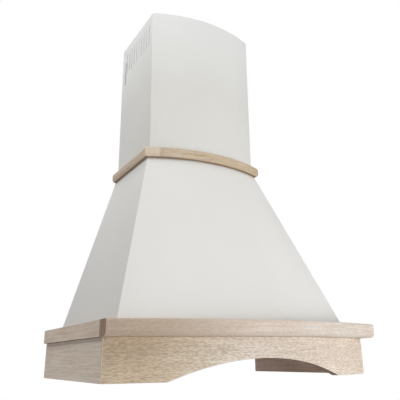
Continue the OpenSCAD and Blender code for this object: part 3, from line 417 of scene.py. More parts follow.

# %% [markdown]
# The arch and the undersides face down, out of the light, and the inner faces and battens are raw wood.
# Less light alone doesn't make them as dark as they are in the photograph, so their tones are darker
# too: painted shade. The skirt's corner is paler than its face: a painted highlight.

# %% Sawn, sanded and raw beech
# Dark undersides: painted shade under the boards.
beech_under_shade = make_beech("beech_underside_shade", [srgb(158, 136, 114)], srgb(132, 110, 90),
    0.3, 0.60, (0.4, 0.6, 1.7))
# Dark arch and side rail undersides: painted shade.
beech_dark_shade = make_beech("beech_arch_and_underside_shade", [srgb(122, 98, 80)], srgb(98, 76, 60),
    0.3, 0.60, (1.4, 0.2, 0.7))
# Pale skirt corner: a painted highlight.
beech_corner_highlight = make_beech("beech_sanded_corner", [srgb(238, 219, 194)], srgb(216, 192, 164),
    0.15, 0.40, (0.6, 1.3, 0.8))
batten_tone, batten_deep = srgb(216, 198, 176), srgb(180, 156, 130)
beech_inner = make_beech("beech_batten", [batten_tone], batten_deep, 0.5, 0.6, (0.9, 2.2, 1.4))
beech_inner_side = make_beech("beech_side_batten", [batten_tone], batten_deep,
    0.5, 0.6, (1.9, 0.2, 1.1), sideways=True)
# Raw inner faces, darkened further with painted shade.
raw_shaded_tone, raw_shaded_deep = srgb(200, 174, 158), srgb(162, 136, 120)
beech_raw_shaded = make_beech("beech_raw_inside_shaded", [raw_shaded_tone], raw_shaded_deep,
    0.5, 0.7, (1.1, 0.7, 2.1), sideways=True)
beech_raw_back_shaded = make_beech("beech_raw_back_shaded", [raw_shaded_tone], raw_shaded_deep, 0.5, 0.7, (2.1, 0.3, 1.2))
print("beech materials:", len([m for m in bpy.data.materials if m.name.startswith("beech")]))

# %% [markdown]
# The canopy and the chimney are sheet steel with a cream-white powder paint, satin and with a very
# fine orange peel. One flat colour would look like plastic from close by. A broad noise changes the
# tone a little, and a fine one gives the peel through a bump, which costs no faces as dents would.

# %% The powder paint group
def make_paint_group():
    tree, take, give = new_group("powder_paint",
        {"Vector": "v", "Light": "c", "Shade": "c", "Peel": "f"}, LOOKS)
    slow = noise(tree, take["Vector"], 3.0, 3.0, 0.55)
    fine = noise(tree, take["Vector"], take["Peel"], 3.0, 0.5)
    cloudy = between(tree, slow, 0.35, 0.7)
    feed(tree, give["Color"], blend_colour(tree, cloudy, take["Light"], take["Shade"]))
    feed(tree, give["Roughness"], between(tree, fine, 0.3, 0.7, 0.36, 0.46))
    feed(tree, give["Normal"], bumped(tree, fine, 0.16, 0.0002))
    return tree


paint_group = make_paint_group()
print("group:", paint_group.name, len(paint_group.nodes), "nodes")


# %% [markdown]
# One coat covers the hood, but it doesn't look the same all over. The canopy's tone drifts up to a gain
# towards the right and the chimney's towards its top: painted light. Inside the chimney the paint is
# paler: painted light that falls in at the open top. The slots' cut edges are greyer and the seam's
# edges are dark: painted shade. These could be painted on one image, but five sets of numbers for one
# group say the same.

# %% The paints
def paler(tone, gain):
    return tuple(part * more for part, more in zip(tone, gain)) + (1,)


def make_paint(name, light, shade, peel, drift=None):
    material, tree, shader = new_material(name)
    where = node(tree, "ShaderNodeTexCoord").outputs["Object"]
    # The tone drifts to a paler one along an axis: painted light.
    if drift:
        axis, start, stop, gain = drift
        along = node(tree, "ShaderNodeSeparateXYZ", {0: where}).outputs[axis]
        light, shade = (drifting(tree, along, start, stop, tone, paler(tone, gain))
            for tone in (light, shade))
    pattern = node(tree, "ShaderNodeGroup", {"Vector": where, "Light": light, "Shade": shade,
        "Peel": peel}, node_tree=paint_group)
    wear(tree, pattern, shader)
    shader.inputs["Specular IOR Level"].default_value = 0.4
    return material


FINE_PEEL, COARSE_PEEL = 1100, 700
# The canopy gets paler towards the right: painted light.
canopy_paint = make_paint("canopy_paint", srgb(231, 230, 226), srgb(227, 226, 222), FINE_PEEL,
    (0, 0.05, 0.24, (1.09, 1.09, 1.10)))
# The chimney gets paler towards its top: painted light.
chimney_paint = make_paint("chimney_paint", srgb(229, 228, 223), srgb(225, 224, 219), FINE_PEEL,
    (2, 0.68, 0.84, (1.10, 1.12, 1.15)))
# Paler paint inside the chimney: painted light that falls in at the open top.
painted_light_inside = make_paint("inside_light_paint", srgb(248, 248, 246), srgb(240, 240, 238), COARSE_PEEL)
# Greyer slot edges: painted shade in the slots.
slot_shade = make_paint("slot_edge_shade_paint", srgb(212, 212, 220), srgb(206, 206, 214), COARSE_PEEL)
# Dark seam edges: painted shade along the seam.
seam_shade = make_paint("seam_shade_paint", srgb(112, 112, 118), srgb(104, 104, 110), COARSE_PEEL)
print("paints:", [name for name in bpy.data.materials.keys() if name.endswith("paint")])

# %% [markdown]
# Inside and underneath, the hood is metal and plastic. Zinc-plated sheet shows soft crystals. They
# could be a noise, but noise has no borders. Each Voronoi cell has one tone, as a crystal has, and a
# cloudy noise over them keeps the sheet from looking like tiles.

# %% The zinc crystals group
def make_crystal_group():
    tree, take, give = new_group("zinc_crystals", {"Vector": "v", "Tint": "c", "Size": "f"}, LOOKS)
    cells = node(tree, "ShaderNodeTexVoronoi", {"Vector": take["Vector"], "Scale": take["Size"]})
    grey = node(tree, "ShaderNodeSeparateColor", {0: cells.outputs["Color"]}).outputs[0]
    cloud = noise(tree, take["Vector"], 14.0, 3.0, 0.6)
    shade = maths(tree, "ADD", times(tree, grey, 0.16), times(tree, cloud, 0.12))
    uneven = maths(tree, "ADD", grey, cloud)
    feed(tree, give["Color"], blend_colour(tree, shade, take["Tint"], (0.16, 0.17, 0.18, 1)))
    feed(tree, give["Roughness"], between(tree, uneven, 0.2, 1.6, 0.34, 0.5))
    feed(tree, give["Normal"], bumped(tree, grey, 0.08, 0.0002))
    return tree


groups = {"zinc": make_crystal_group()}
print("groups:", sorted(groups))


# %% [markdown]
# Stainless sheet shows fine brushed lines and moulded plastic a fine grain. Thin grooves could be
# modelled, but there are thousands. A noise that is stretched 300 times along X draws the lines, and
# the same noise unstretched is the grain.

# %% The brushed and moulded groups
def make_brushed_group():
    tree, take, give = new_group("brushed_lines", {"Vector": "v", "Tint": "c", "Rough": "f"}, LOOKS)
    lines = noise(tree, stretched(tree, take["Vector"], (6, 1800, 1800)), 1.0, 4.0, 0.6)
    smear = noise(tree, take["Vector"], 7.0, 3.0, 0.6)
    tint = blend_colour(tree, times(tree, lines, 0.25), take["Tint"], (0.3, 0.3, 0.3, 1))
    feed(tree, give["Color"], tint)
    feed(tree, give["Roughness"], maths(tree, "ADD", take["Rough"], times(tree, smear, 0.14)))
    feed(tree, give["Normal"], bumped(tree, lines, 0.1, 0.0001))
    return tree


def make_moulded_group():
    tree, take, give = new_group("moulded_grain",
        {"Vector": "v", "Tint": "c", "Rough": "f", "Size": "f"}, LOOKS)
    grain = noise(tree, take["Vector"], take["Size"], 3.0, 0.6)
    cloud = noise(tree, take["Vector"], 9.0, 3.0, 0.6)
    tint = blend_colour(tree, times(tree, cloud, 0.18), take["Tint"], (0.35, 0.34, 0.33, 1))
    feed(tree, give["Color"], tint)
    feed(tree, give["Roughness"], maths(tree, "ADD", take["Rough"], times(tree, grain, 0.12)))
    feed(tree, give["Normal"], bumped(tree, grain, 0.12, 0.0002))
    return tree


groups.update(brushed=make_brushed_group(), moulded=make_moulded_group())
print("groups:", sorted(groups))


# %% [markdown]
# The sheets and clips are zinc-plated, the filters are aluminium, the grips and the fan's housing are
# black plastic, and the motor has an iron core and bronze bearings. Twelve networks could be wired,
# but they differ only in tint, roughness, metal and fineness. So one function types in these numbers.

# %% Metal and plastic materials
def make_finish(name, kind, tint, metallic, **numbers):
    material, tree, shader = new_material(name)
    where = node(tree, "ShaderNodeTexCoord").outputs["Object"]
    pattern = node(tree, "ShaderNodeGroup", {"Vector": where, "Tint": (*tint, 1), **numbers},
        node_tree=groups[kind])
    wear(tree, pattern, shader)
    shader.inputs["Metallic"].default_value = metallic
    return material


zinc = make_finish("zinc_sheet", "zinc", (0.62, 0.64, 0.66), 1.0, Size=90.0)
bright_zinc = make_finish("bright_zinc", "zinc", (0.70, 0.71, 0.72), 1.0, Size=400.0)
stainless = make_finish("brushed_stainless", "brushed", (0.68, 0.67, 0.65), 1.0, Rough=0.24)
ground_steel = make_finish("ground_steel", "brushed", (0.62, 0.62, 0.62), 1.0, Rough=0.16)
chrome = make_finish("chrome", "brushed", (0.78, 0.78, 0.79), 1.0, Rough=0.04)
alloy = make_finish("filter_alloy", "brushed", (0.70, 0.71, 0.72), 1.0, Rough=0.30)
black_plastic = make_finish("black_plastic", "moulded", (0.028, 0.028, 0.03), 0.0,
    Rough=0.42, Size=1600.0)
grey_plastic = make_finish("grey_plastic", "moulded", (0.48, 0.48, 0.46), 0.0,
    Rough=0.45, Size=1400.0)
white_plastic = make_finish("button_plastic", "moulded", (0.78, 0.78, 0.75), 0.0,
    Rough=0.22, Size=900.0)
rubber = make_finish("rubber", "moulded", (0.02, 0.02, 0.02), 0.0, Rough=0.62, Size=1200.0)
iron = make_finish("laminated_iron", "zinc", (0.22, 0.20, 0.19), 0.8, Size=240.0)
bronze = make_finish("bearing_bronze", "zinc", (0.55, 0.38, 0.18), 1.0, Size=500.0)
print("finishes so far:", len(bpy.data.materials))

# %% [markdown]
# The lamps' glasses are frosted so that the bulbs don't dazzle. Milky paint would hide the bulb. Light
# that passes through a rough surface blurs it instead, and fine noise gives the frost its sparkle.

# %% Frosted glass
lamp_glass, tree, shader = new_material("lamp_glass")
where = node(tree, "ShaderNodeTexCoord").outputs["Object"]
frost = noise(tree, where, 1500.0, 2.0)
feed(tree, shader.inputs["Normal"], bumped(tree, frost, 0.2, 0.0002))
feed(tree, shader.inputs["Roughness"], between(tree, frost, 0.3, 0.7, 0.22, 0.36))
shader.inputs["Base Color"].default_value = (0.93, 0.95, 0.96, 1)
shader.inputs["Transmission Weight"].default_value = 0.85
shader.inputs["IOR"].default_value = 1.46
print("glass:", lamp_glass.name)

# %% [markdown]
# Every solid of the frame gets its finish here. Set one by one, the hidden solids are easily missed,
# but a table shows at once what is made of what. Modelled pieces later take their place over these.

# %% Finishes on the frame's solids
dressed = {
    beech_front: ["skirt_front"],
    beech_side: ["skirt_left", "skirt_right"],
    beech_rail: ["rail_front"],
    beech_rail_side: ["rail_left", "rail_right"],
    beech_collar: ["collar_front"],
    beech_collar_side: ["collar_left", "collar_right"],
    beech_inner: ["batten_front", "batten_rear", "corner_blocks"],
    beech_inner_side: ["batten_left", "batten_right"],
    canopy_paint: ["canopy_shell"],
    chimney_paint: ["chimney_shell"],
    zinc: ["rear_panel", "neck_rests", "chimney_bracket", "blower_brackets", "impeller",
        "motor_case", "motor_bracket", "lamp_body_left", "lamp_body_right", "filter_clips"],
    bright_zinc: ["wood_screws", "sheet_screws", "chimney_screws"],
    stainless: ["base_panel"],
    ground_steel: ["motor_shaft", "damper_rods"],
    alloy: ["filter_frame_left", "filter_frame_right", "filter_mesh_left", "filter_mesh_right",
        "damper_flap_front", "damper_flap_rear"],
    black_plastic: ["control_bezel", "filter_latch_left", "filter_latch_right",
        "blower_housing_left", "blower_housing_right", "outlet_collar"],
    grey_plastic: ["switch_block", "junction_box", "capacitor"],
    white_plastic: ["button_1", "button_2", "button_3", "button_4", "button_5"],
    chrome: ["lamp_ring_left", "lamp_ring_right"],
    lamp_glass: ["lamp_lens_left", "lamp_lens_right"],
    rubber: ["cable_gland"],
    iron: ["motor_rotor", "motor_stator"],
    bronze: ["motor_bearings"],
}
for material, names in dressed.items():
    for name in names:
        frame["nodes"][name].data.materials.clear()
        frame["nodes"][name].data.materials.append(material)
undressed = set(frame["nodes"]) - {name for names in dressed.values() for name in names}
print("undressed nodes:", sorted(undressed))

# %% [markdown]
# From here on, pieces are modelled. In the editor one would click on faces and edges. An operator acts
# on everything that is selected, so here each piece is picked alone first, and its faces or edges are
# then chosen by where they are and which way they look.

# %% Helpers for picking
def object_mode():
    if bpy.context.mode != "OBJECT":
        bpy.ops.object.mode_set(mode="OBJECT")


def nothing_picked():
    object_mode()
    bpy.ops.object.select_all(action="DESELECT")


def pick(piece):
    nothing_picked()
    piece.select_set(True)
    bpy.context.view_layer.objects.active = piece


def edit(piece, kind="FACE", action="DESELECT"):
    pick(piece)
    bpy.ops.object.mode_set(mode="EDIT")
    bpy.ops.mesh.select_mode(type=kind)
    bpy.ops.mesh.select_all(action=action)


def pick_faces(piece, wanted):
    edit(piece)
    object_mode()
    place = piece.matrix_world
    for face in piece.data.polygons:
        face.select = bool(wanted(place @ face.center, place.to_3x3() @ face.normal))
    bpy.ops.object.mode_set(mode="EDIT")


def pick_edges(piece, wanted):
    edit(piece, "EDGE")
    object_mode()
    points = [piece.matrix_world @ vertex.co for vertex in piece.data.vertices]
    for edge in piece.data.edges:
        a, b = (points[i] for i in edge.vertices)
        edge.select = bool(wanted(a, b))
    bpy.ops.object.mode_set(mode="EDIT")


print("mode now:", bpy.context.mode)


# %% [markdown]
# The frame's solids have knife-sharp edges. Real boards are eased with sandpaper and cut sheet is
# deburred, and both edges catch the light. A solid that is modelled anew would lose its measures. So a
# copy is merged, its flat triangles are dissolved, and a Bevel modifier finds and rounds the edges.

# %% Softening the edges
MM = 0.001


def smooth(piece, degrees=35):
    pick(piece)
    bpy.ops.object.shade_smooth_by_angle(angle=math.radians(degrees))


def merged_copy(name):
    source = frame["nodes"][name]
    piece = source.copy()
    piece.data = source.data.copy()
    piece.parent = None
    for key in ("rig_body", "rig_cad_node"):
        if key in piece:
            del piece[key]
    bpy.context.scene.collection.objects.link(piece)
    edit(piece, action="SELECT")
    bpy.ops.mesh.remove_doubles(threshold=0.002 * MM)
    bpy.ops.mesh.customdata_custom_splitnormals_clear()
    bpy.ops.mesh.dissolve_limited(angle_limit=math.radians(0.4))
    object_mode()
    print(name, "triangles:", len(source.data.polygons), "merged to faces:", len(piece.data.polygons))
    return piece


def ease_edges(piece, width, segments=2, degrees=40):
    bevel = piece.modifiers.new("eased", "BEVEL")
    bevel.width = width
    bevel.segments = segments
    bevel.limit_method = "ANGLE"
    bevel.angle_limit = math.radians(degrees)
    pick(piece)
    bpy.ops.object.modifier_apply(modifier=bevel.name)
    smooth(piece)
    flat = piece.modifiers.new("flat_faces", "WEIGHTED_NORMAL")
    flat.keep_sharp = True
    bpy.ops.object.modifier_apply(modifier=flat.name)


# %% [markdown]
# A finished piece has to say which body of the hood it moves with, which finish it shows and which
# solids it stands for. settle() does that after the piece's turn and scale are applied, so that
# patterns keep their size. A sheet may be painted outside and bare inside. Two pieces could show that,
# but it is simpler to give a second material to the faces that a rule picks out.

# %% Helpers for finishing
def settle(piece, name, material, body, stands_for=()):
    pick(piece)
    bpy.ops.object.transform_apply()
    piece.name = name
    piece.data.name = name
    piece.data.materials.clear()
    piece.data.materials.append(material)
    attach(piece, body)
    if stands_for:
        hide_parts(*stands_for)
    print(name, "faces:", len(piece.data.polygons))


def second_material(piece, material, wanted):
    piece.data.materials.append(material)
    number = len(piece.data.materials) - 1
    faces = [face for face in piece.data.polygons if wanted(face.center, face.normal)]
    for face in faces:
        face.material_index = number
    print(piece.name, "faces in", material.name + ":", len(faces))


# %% [markdown]
# The hood stands on a frame of beech boards: an arched skirt, a rail over it, and a collar round the
# chimney's foot. Their edges are eased by 0.4 to 0.9 mm. In the photograph the skirt's corner is a pale
# strip, painted on as a highlight, and a short piece is jointed to the collar's left end. Separate
# pieces would show a gap there. Bisect cuts an edge into the board instead, and the faces beyond it
# take another beech.

# %% Eased boards
EASED_MM = {
    "skirt_front": (beech_front, 0.8), "skirt_left": (beech_side, 0.8),
    "skirt_right": (beech_side, 0.8), "rail_front": (beech_rail, 0.7),
    "rail_left": (beech_rail_side, 0.9), "rail_right": (beech_rail_side, 0.9),
    "collar_front": (beech_collar, 0.4), "collar_left": (beech_collar_side, 0.4),
    "collar_right": (beech_collar_side, 0.4),
}
JOINT_X = -0.127
STRIP_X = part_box("skirt_front")[1].x - 1.8 * MM
CUTS = {"collar_front": [JOINT_X], "skirt_front": [-STRIP_X, STRIP_X]}
boards = {}
for name, (material, width) in EASED_MM.items():
    board = boards[name] = merged_copy(name)
    ease_edges(board, width * MM)
    for x in CUTS.get(name, []):
        edit(board, action="SELECT")
        bpy.ops.mesh.bisect(plane_co=(x, 0, 0), plane_no=(1, 0, 0))
        object_mode()
    settle(board, name + "_board", material, "hood", [name])

# %% [markdown]
# Some faces of a board get tones of their own. The inner ones are raw wood, darkened further with
# painted shade, the arch and the undersides are dark with painted shade, and the skirt's corner is
# paler, a painted highlight. They could be painted by hand, but a rule on a face's place and normal is
# exact and still holds if the board's size changes.

# %% Raw and sawn faces
# The skirts' inner faces: raw wood, darkened with painted shade.
for name in ("skirt_left", "skirt_right"):
    second_material(boards[name], beech_raw_shaded, lambda at, normal: normal.x * at.x < -0.1)
skirt = boards["skirt_front"]
# The skirt's back: raw wood, darkened with painted shade.
second_material(skirt, beech_raw_back_shaded, lambda at, normal: normal.y > 0.8)
# The skirt's corners: a painted highlight.
second_material(skirt, beech_corner_highlight, lambda at, normal: abs(at.x) > STRIP_X and normal.y < 0)
# The arch: painted shade.
second_material(skirt, beech_dark_shade, lambda at, normal: normal.z < -0.3 and abs(normal.y) < 0.5)
second_material(boards["collar_front"], beech_joint, lambda at, normal: at.x < JOINT_X)
# The collars' undersides: painted shade.
for name in ("collar_front", "collar_left", "collar_right"):
    second_material(boards[name], beech_under_shade, lambda at, normal: normal.z < -0.8)
# The side rails' undersides: painted shade.
for name in ("rail_left", "rail_right"):
    second_material(boards[name], beech_dark_shade, lambda at, normal: normal.z < -0.8)

# %% [markdown]
# The chimney is one folded sheet with a bend on either side of its bowed front. The bends could be left
# to the modifier, but a bend is nine times wider than a deburred edge. So the two long corner edges
# are picked and bevelled first. The open chimney is painted inside too, in a paler tone: painted light
# that falls in at its open top.

# %% The folded chimney
CHIMNEY_FOLD, CANOPY_FOLD, DEBURR = 2.2 * MM, 2.5 * MM, 0.25 * MM
LONG_EDGE = 0.3  # metres: only a corner edge of a sheet is longer upwards


def fold_corners(piece, wanted, radius):
    pick_edges(piece, wanted)
    bpy.ops.mesh.bevel(offset=radius, segments=4)
    object_mode()


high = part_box("chimney_shell")[1]
side_x, top, back = high.x, high.z, high.y
chimney = merged_copy("chimney_shell")
fold_corners(chimney, lambda a, b: abs(abs(a.x) - side_x) < 0.1 * MM
    and abs(a.x - b.x) < 0.1 * MM and abs(a.z - b.z) > LONG_EDGE and a.y < 0.04, CHIMNEY_FOLD)
ease_edges(chimney, DEBURR, 1, 50)
settle(chimney, "chimney_sheet", chimney_paint, "chimney", ["chimney_shell"])
# The chimney's inner faces take the paler paint: painted light.
second_material(chimney, painted_light_inside, lambda at, normal: normal.xy.length > 0.5
    and (normal.x * at.x + normal.y * (at.y - back + 0.02)) < -0.001)

# %% [markdown]
# Ten slots near the chimney's top let air out, and a narrow one lies behind them. Seen from the side,
# they show little more than their cut edges, 1.2 mm deep. Thin strips could be laid into them, but the
# sheet already has these faces, and they are picked out by where they lie. The slots' edges get a
# greyer tone and the seam's edges a dark one: painted shade in the slots and along the seam.

# %% The slots' cut edges
def slot_edges(below_top, above, front, rear):
    return lambda at, normal: (abs(at.x) > side_x - 1.3 * MM and abs(normal.x) < 0.6
        and top - below_top < at.z < top - above and front < at.y < rear)


VENT_REAR = back - 31 * MM
# The slots' cut edges take the greyer paint: painted shade.
second_material(chimney, slot_shade, slot_edges(88 * MM, 20 * MM, 0.04, VENT_REAR))
# The seam's cut edges take the dark paint: painted shade.
second_material(chimney, seam_shade, slot_edges(130 * MM, 40 * MM, VENT_REAR, back - 15 * MM))

# %% [markdown]
# The canopy is a flat-sided cone with a bowed front, folded as the chimney is. It is painted outside
# only, so its inner faces and rear flanges show zinc. A liner could be modelled for that, but the
# sheet has real thickness, and a face is an inner one if its normal points at the canopy's middle.

# %% The folded canopy
canopy = merged_copy("canopy_shell")
fold_corners(canopy, lambda a, b: abs(a.z - b.z) > LONG_EDGE and min(abs(a.x), abs(b.x)) > 0.12
    and max(a.y, b.y) < 0.06, CANOPY_FOLD)
ease_edges(canopy, DEBURR, 1, 50)
settle(canopy, "canopy_sheet", canopy_paint, "hood", ["canopy_shell"])
second_material(canopy, zinc, lambda at, normal: (normal.x * at.x + normal.y * (at.y - 0.1)) < -0.002
    or (normal.y < -0.9 and at.y > 0.2))

# %% [markdown]
# A grease filter is a stack of expanded aluminium sheets in a channel frame. Expanded metal is a net
# of long diamonds. Each strand could be a curve, but there are thousands. So a grid is turned by an
# eighth of a turn, squeezed until its squares are diamonds and cut to the frame with bisect, and a
# Wireframe modifier turns its edges into strands.

# %% A net of expanded metal
def cut_outside(piece, low, high):
    for place, normal in (((low.x, 0, 0), (-1, 0, 0)), ((high.x, 0, 0), (1, 0, 0)),
                          ((0, low.y, 0), (0, -1, 0)), ((0, high.y, 0), (0, 1, 0))):
        edit(piece, action="SELECT")
        bpy.ops.mesh.bisect(plane_co=place, plane_no=normal, clear_outer=True)
        object_mode()


def diamond_net(low, high, z, long_way, short_way, strand=0.9 * MM):
    wide = (high.x - low.x) / long_way + (high.y - low.y) / short_way
    cells = int(math.ceil(wide / 2)) * 2 + 2
    nothing_picked()
    bpy.ops.mesh.primitive_grid_add(x_subdivisions=cells, y_subdivisions=cells, size=cells)
    net = bpy.context.object
    net.rotation_euler = (0, 0, math.pi / 4)
    bpy.ops.object.transform_apply()
    net.scale = (long_way / math.sqrt(2), short_way / math.sqrt(2), 1)
    net.location = (*((low + high) / 2).xy, z)
    bpy.ops.object.transform_apply()
    cut_outside(net, low, high)
    strands = net.modifiers.new("strands", "WIREFRAME")
    strands.thickness = strand
    strands.use_even_offset = False
    strands.use_boundary = True
    pick(net)
    bpy.ops.object.modifier_apply(modifier=strands.name)
    return net


MARGIN = Vector((0.2 * MM, 0.2 * MM, 0))
print("a net keeps", round(MARGIN.x / MM, 1), "mm off its frame")


# %% [markdown]
# What repeats on the hood, such as filters, ribs, buttons, lamps and screws, is modelled once and then
# copied. Linked copies would share one mesh, but each piece has its own place in its mesh here, so each
# copy gets a mesh of its own. Small parts that are never taken apart are joined to one piece.

# %% Helpers for copies
def copied(piece, move=(0, 0, 0)):
    twin = piece.copy()
    twin.data = piece.data.copy()
    twin.location = piece.location + Vector(move)
    bpy.context.scene.collection.objects.link(twin)
    return twin


def discard(*pieces):
    for piece in pieces:
        bpy.data.meshes.remove(piece.data)


def join(pieces):
    pick(pieces[0])
    for piece in pieces[1:]:
        piece.select_set(True)
    bpy.ops.object.join()
    return bpy.context.object


# %% [markdown]
# A real stack has a dozen sheets. Three show, so three nets are made: the outer ones lie 1 mm inside
# the frame's faces, and the middle one's diamonds run the other way. The channel frame keeps its shape
# and gets eased edges.

# %% The grease filters
low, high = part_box("filter_mesh_left")
inner, outer = low + MARGIN, high - MARGIN
stack = join([diamond_net(inner, outer, low.z + 1.0 * MM, 11 * MM, 6 * MM),
    diamond_net(inner, outer, (low.z + high.z) / 2, 7 * MM, 12 * MM),
    diamond_net(inner, outer, high.z - 1.0 * MM, 11 * MM, 6 * MM)])
for side in ("left", "right"):
    mesh, body = "filter_mesh_" + side, "filter_" + side
    net = copied(stack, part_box(mesh)[0] - low)
    settle(net, "filter_net_" + side, alloy, body, [mesh])
    channel = merged_copy("filter_frame_" + side)
    ease_edges(channel, 0.5 * MM)
    settle(channel, "filter_channel_" + side, alloy, body, ["filter_frame_" + side])
discard(stack)

# %% [markdown]
# Each filter is let down by a sliding latch, whose grip is moulded with five ribs for the fingertip.
# A bump would look right from afar only. So the latch's own solid is eased, and bevelled bars are
# joined to its grip.

# %% The latches
RIBS, FIRST_RIB, RIB_PITCH = 5, 4.1, 1.6
nothing_picked()
bpy.ops.mesh.primitive_cube_add(size=1, location=(0, 0, 0.05 * MM), scale=(24 * MM, 0.8 * MM, 1.1 * MM))
rib = bpy.context.object
bpy.ops.object.transform_apply()
edit(rib, "EDGE", "SELECT")
bpy.ops.mesh.bevel(offset=0.25 * MM, segments=2)
object_mode()
for side in ("left", "right"):
    low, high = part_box("filter_latch_" + side)
    latch = merged_copy("filter_latch_" + side)
    ease_edges(latch, 0.5 * MM)
    ribs = [copied(rib, ((low.x + high.x) / 2, low.y + (FIRST_RIB + RIB_PITCH * number) * MM, low.z))
        for number in range(RIBS)]
    latch = join([latch] + ribs)
    smooth(latch)
    name = "latch_" + side
    settle(latch, name, black_plastic, name, ["filter_latch_" + side])
discard(rib)

# %% [markdown]
# The five push buttons are round caps with a dished face and a stepped collar inside the switch. A
# spin would need a drawn profile. A cylinder needs none: each inset of its face makes a ring and moves
# it up or down, and the extruded top is widened into the collar.

# %% The push buttons
CAP, STEP, DISH_RINGS = 6 * MM, 1.7 * MM, 5


def round_bar(radius, low_z, high_z, place, sides=48):
    nothing_picked()
    bpy.ops.mesh.primitive_cylinder_add(vertices=sides, radius=radius, depth=high_z - low_z,
        location=(place[0], place[1], (low_z + high_z) / 2))
    return bpy.context.object


def extrude_up(height):
    bpy.ops.mesh.extrude_region_move(TRANSFORM_OT_translate={"value": (0, 0, height)})


low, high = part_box("button_1")
centre = (low + high) / 2
cap = round_bar(CAP, low.z, high.z - STEP, centre)
pick_faces(cap, lambda at, normal: normal.z < -0.9)
for thickness, depth in ((0.55, 0), (0.25, -0.22), (0.25, 0.22)):
    bpy.ops.mesh.inset(thickness=thickness * MM, depth=depth * MM)
for ring in range(DISH_RINGS):
    depth = -(0.05 + 0.07 * (DISH_RINGS - ring) / DISH_RINGS) * MM
    bpy.ops.mesh.inset(thickness=0.85 * MM, depth=depth)
pick_faces(cap, lambda at, normal: normal.z > 0.9)
extrude_up(0)
bpy.ops.transform.resize(value=((high.x - centre.x) / CAP, (high.y - centre.y) / CAP, 1))
extrude_up(STEP)
object_mode()
ease_edges(cap, 0.18 * MM, 2, 50)
for name in ("button_1", "button_2", "button_3", "button_4", "button_5"):
    button = copied(cap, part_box(name)[0] - low)
    settle(button, "push_" + name, white_plastic, "push_" + name, [name])
discard(cap)

# %% [markdown]
# The buttons stand in a moulded plate. It could be a rounded box, but its own solid has the holes, so
# that is eased, with a wide bevel of three segments.

# %% The bezel
bezel = merged_copy("control_bezel")
ease_edges(bezel, 0.6 * MM, 3, 50)
settle(bezel, "bezel_plate", black_plastic, "hood", ["control_bezel"])

# %% [markdown]
# A lamp is a chrome ring, a ridged glass, a spun reflector and a small bulb. The glass's ridges could
# be a bump, but light that passes through bends on real ones. They are insets of a disc, moved up and
# down in turn.

# %% A lamp's glass
GLASS_RIM, RIDGE, GROOVE, RIDGE_HIGH, RIDGES = 2.2 * MM, 1.25 * MM, 1.1 * MM, 0.45 * MM, 8
low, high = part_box("lamp_lens_left")
middle, bottom = (low + high) / 2, high.z + 0.6 * MM
glass = round_bar((high.x - low.x) / 2, low.z, high.z, middle, 64)
pick_faces(glass, lambda at, normal: normal.z < -0.9)
bpy.ops.mesh.inset(thickness=GLASS_RIM, depth=0)
for ring in range(RIDGES):
    bpy.ops.mesh.inset(thickness=RIDGE, depth=RIDGE_HIGH if ring % 2 else -RIDGE_HIGH)
    bpy.ops.mesh.inset(thickness=GROOVE, depth=0)
object_mode()
ease_edges(glass, 0.12 * MM, 1, 25)
print("glass:", len(glass.data.polygons), "faces")

# %% [markdown]
# The reflector is a bowl that throws the light down. Half a sphere would be too deep. So an open cone
# is cut across at five heights, each ring is moved out to a parabola, and a Solidify modifier gives
# the wall its thickness.

# %% A lamp's reflector
RIM, NECK, DEPTH, LEVELS = 21.5, 6.5, 20 * MM, 6
nothing_picked()
bpy.ops.mesh.primitive_cone_add(vertices=48, radius1=RIM * MM, radius2=NECK * MM, depth=DEPTH,
    end_fill_type="NOTHING", location=(*middle.xy, bottom + DEPTH / 2))
bowl = bpy.context.object
for level in range(1, LEVELS):
    edit(bowl, action="SELECT")
    bpy.ops.mesh.bisect(plane_co=(0, 0, bottom + level / LEVELS * DEPTH), plane_no=(0, 0, 1))
    object_mode()
for vertex in bowl.data.vertices:
    share = vertex.co.z / DEPTH + 0.5
    wanted = (NECK + (RIM - NECK) * math.sqrt(max(0, 1 - share))) * MM
    vertex.co.xy *= wanted / vertex.co.xy.length
wall = bowl.modifiers.new("wall", "SOLIDIFY")
wall.thickness = 0.5 * MM
pick(bowl)
bpy.ops.object.modifier_apply(modifier=wall.name)
smooth(bowl, 50)
print("reflector:", len(bowl.data.polygons), "faces")

# %% [markdown]
# The bulb is a small capsule of frosted glass. It could be half a sphere joined to a tube. Three insets
# of a cylinder's end give the same dome in one piece. Then each piece is copied to both lamps.

# %% The bulb and both lamps
bulb = round_bar(4.5 * MM, bottom + 3 * MM, bottom + 19 * MM, middle, 32)
pick_faces(bulb, lambda at, normal: normal.z < -0.9)
for thickness, depth in ((0.8, 0.9), (1.2, 0.7), (1.4, 0.3)):
    bpy.ops.mesh.inset(thickness=thickness * MM, depth=depth * MM)
object_mode()
smooth(bulb, 60)
for side in ("left", "right"):
    lens = "lamp_lens_" + side
    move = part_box(lens)[0] - low
    settle(copied(glass, move), "lamp_glass_" + side, lamp_glass, "hood", [lens])
    settle(copied(bowl, move), "lamp_reflector_" + side, chrome, "hood")
    settle(copied(bulb, move), "lamp_bulb_" + side, lamp_glass, "hood")
discard(glass, bowl, bulb)

# %% [markdown]
# Screws hold the boards and sheets. In the frame each is a plain pin with a head. Their places could
# be typed in, but they are in the solid already: it is taken apart, and each piece is measured.

# %% Where the screws are
def screw_places(name):
    pick(merged_copy(name))
    bpy.ops.mesh.separate(type="LOOSE")
    places = []
    for loose in list(bpy.context.selected_objects):
        points = [vertex.co.copy() for vertex in loose.data.vertices]
        low = Vector([min(p[i] for p in points) for i in range(3)])
        high = Vector([max(p[i] for p in points) for i in range(3)])
        places.append((low, high, points))
        discard(loose)
    print(name, "pins:", len(places))
    return places


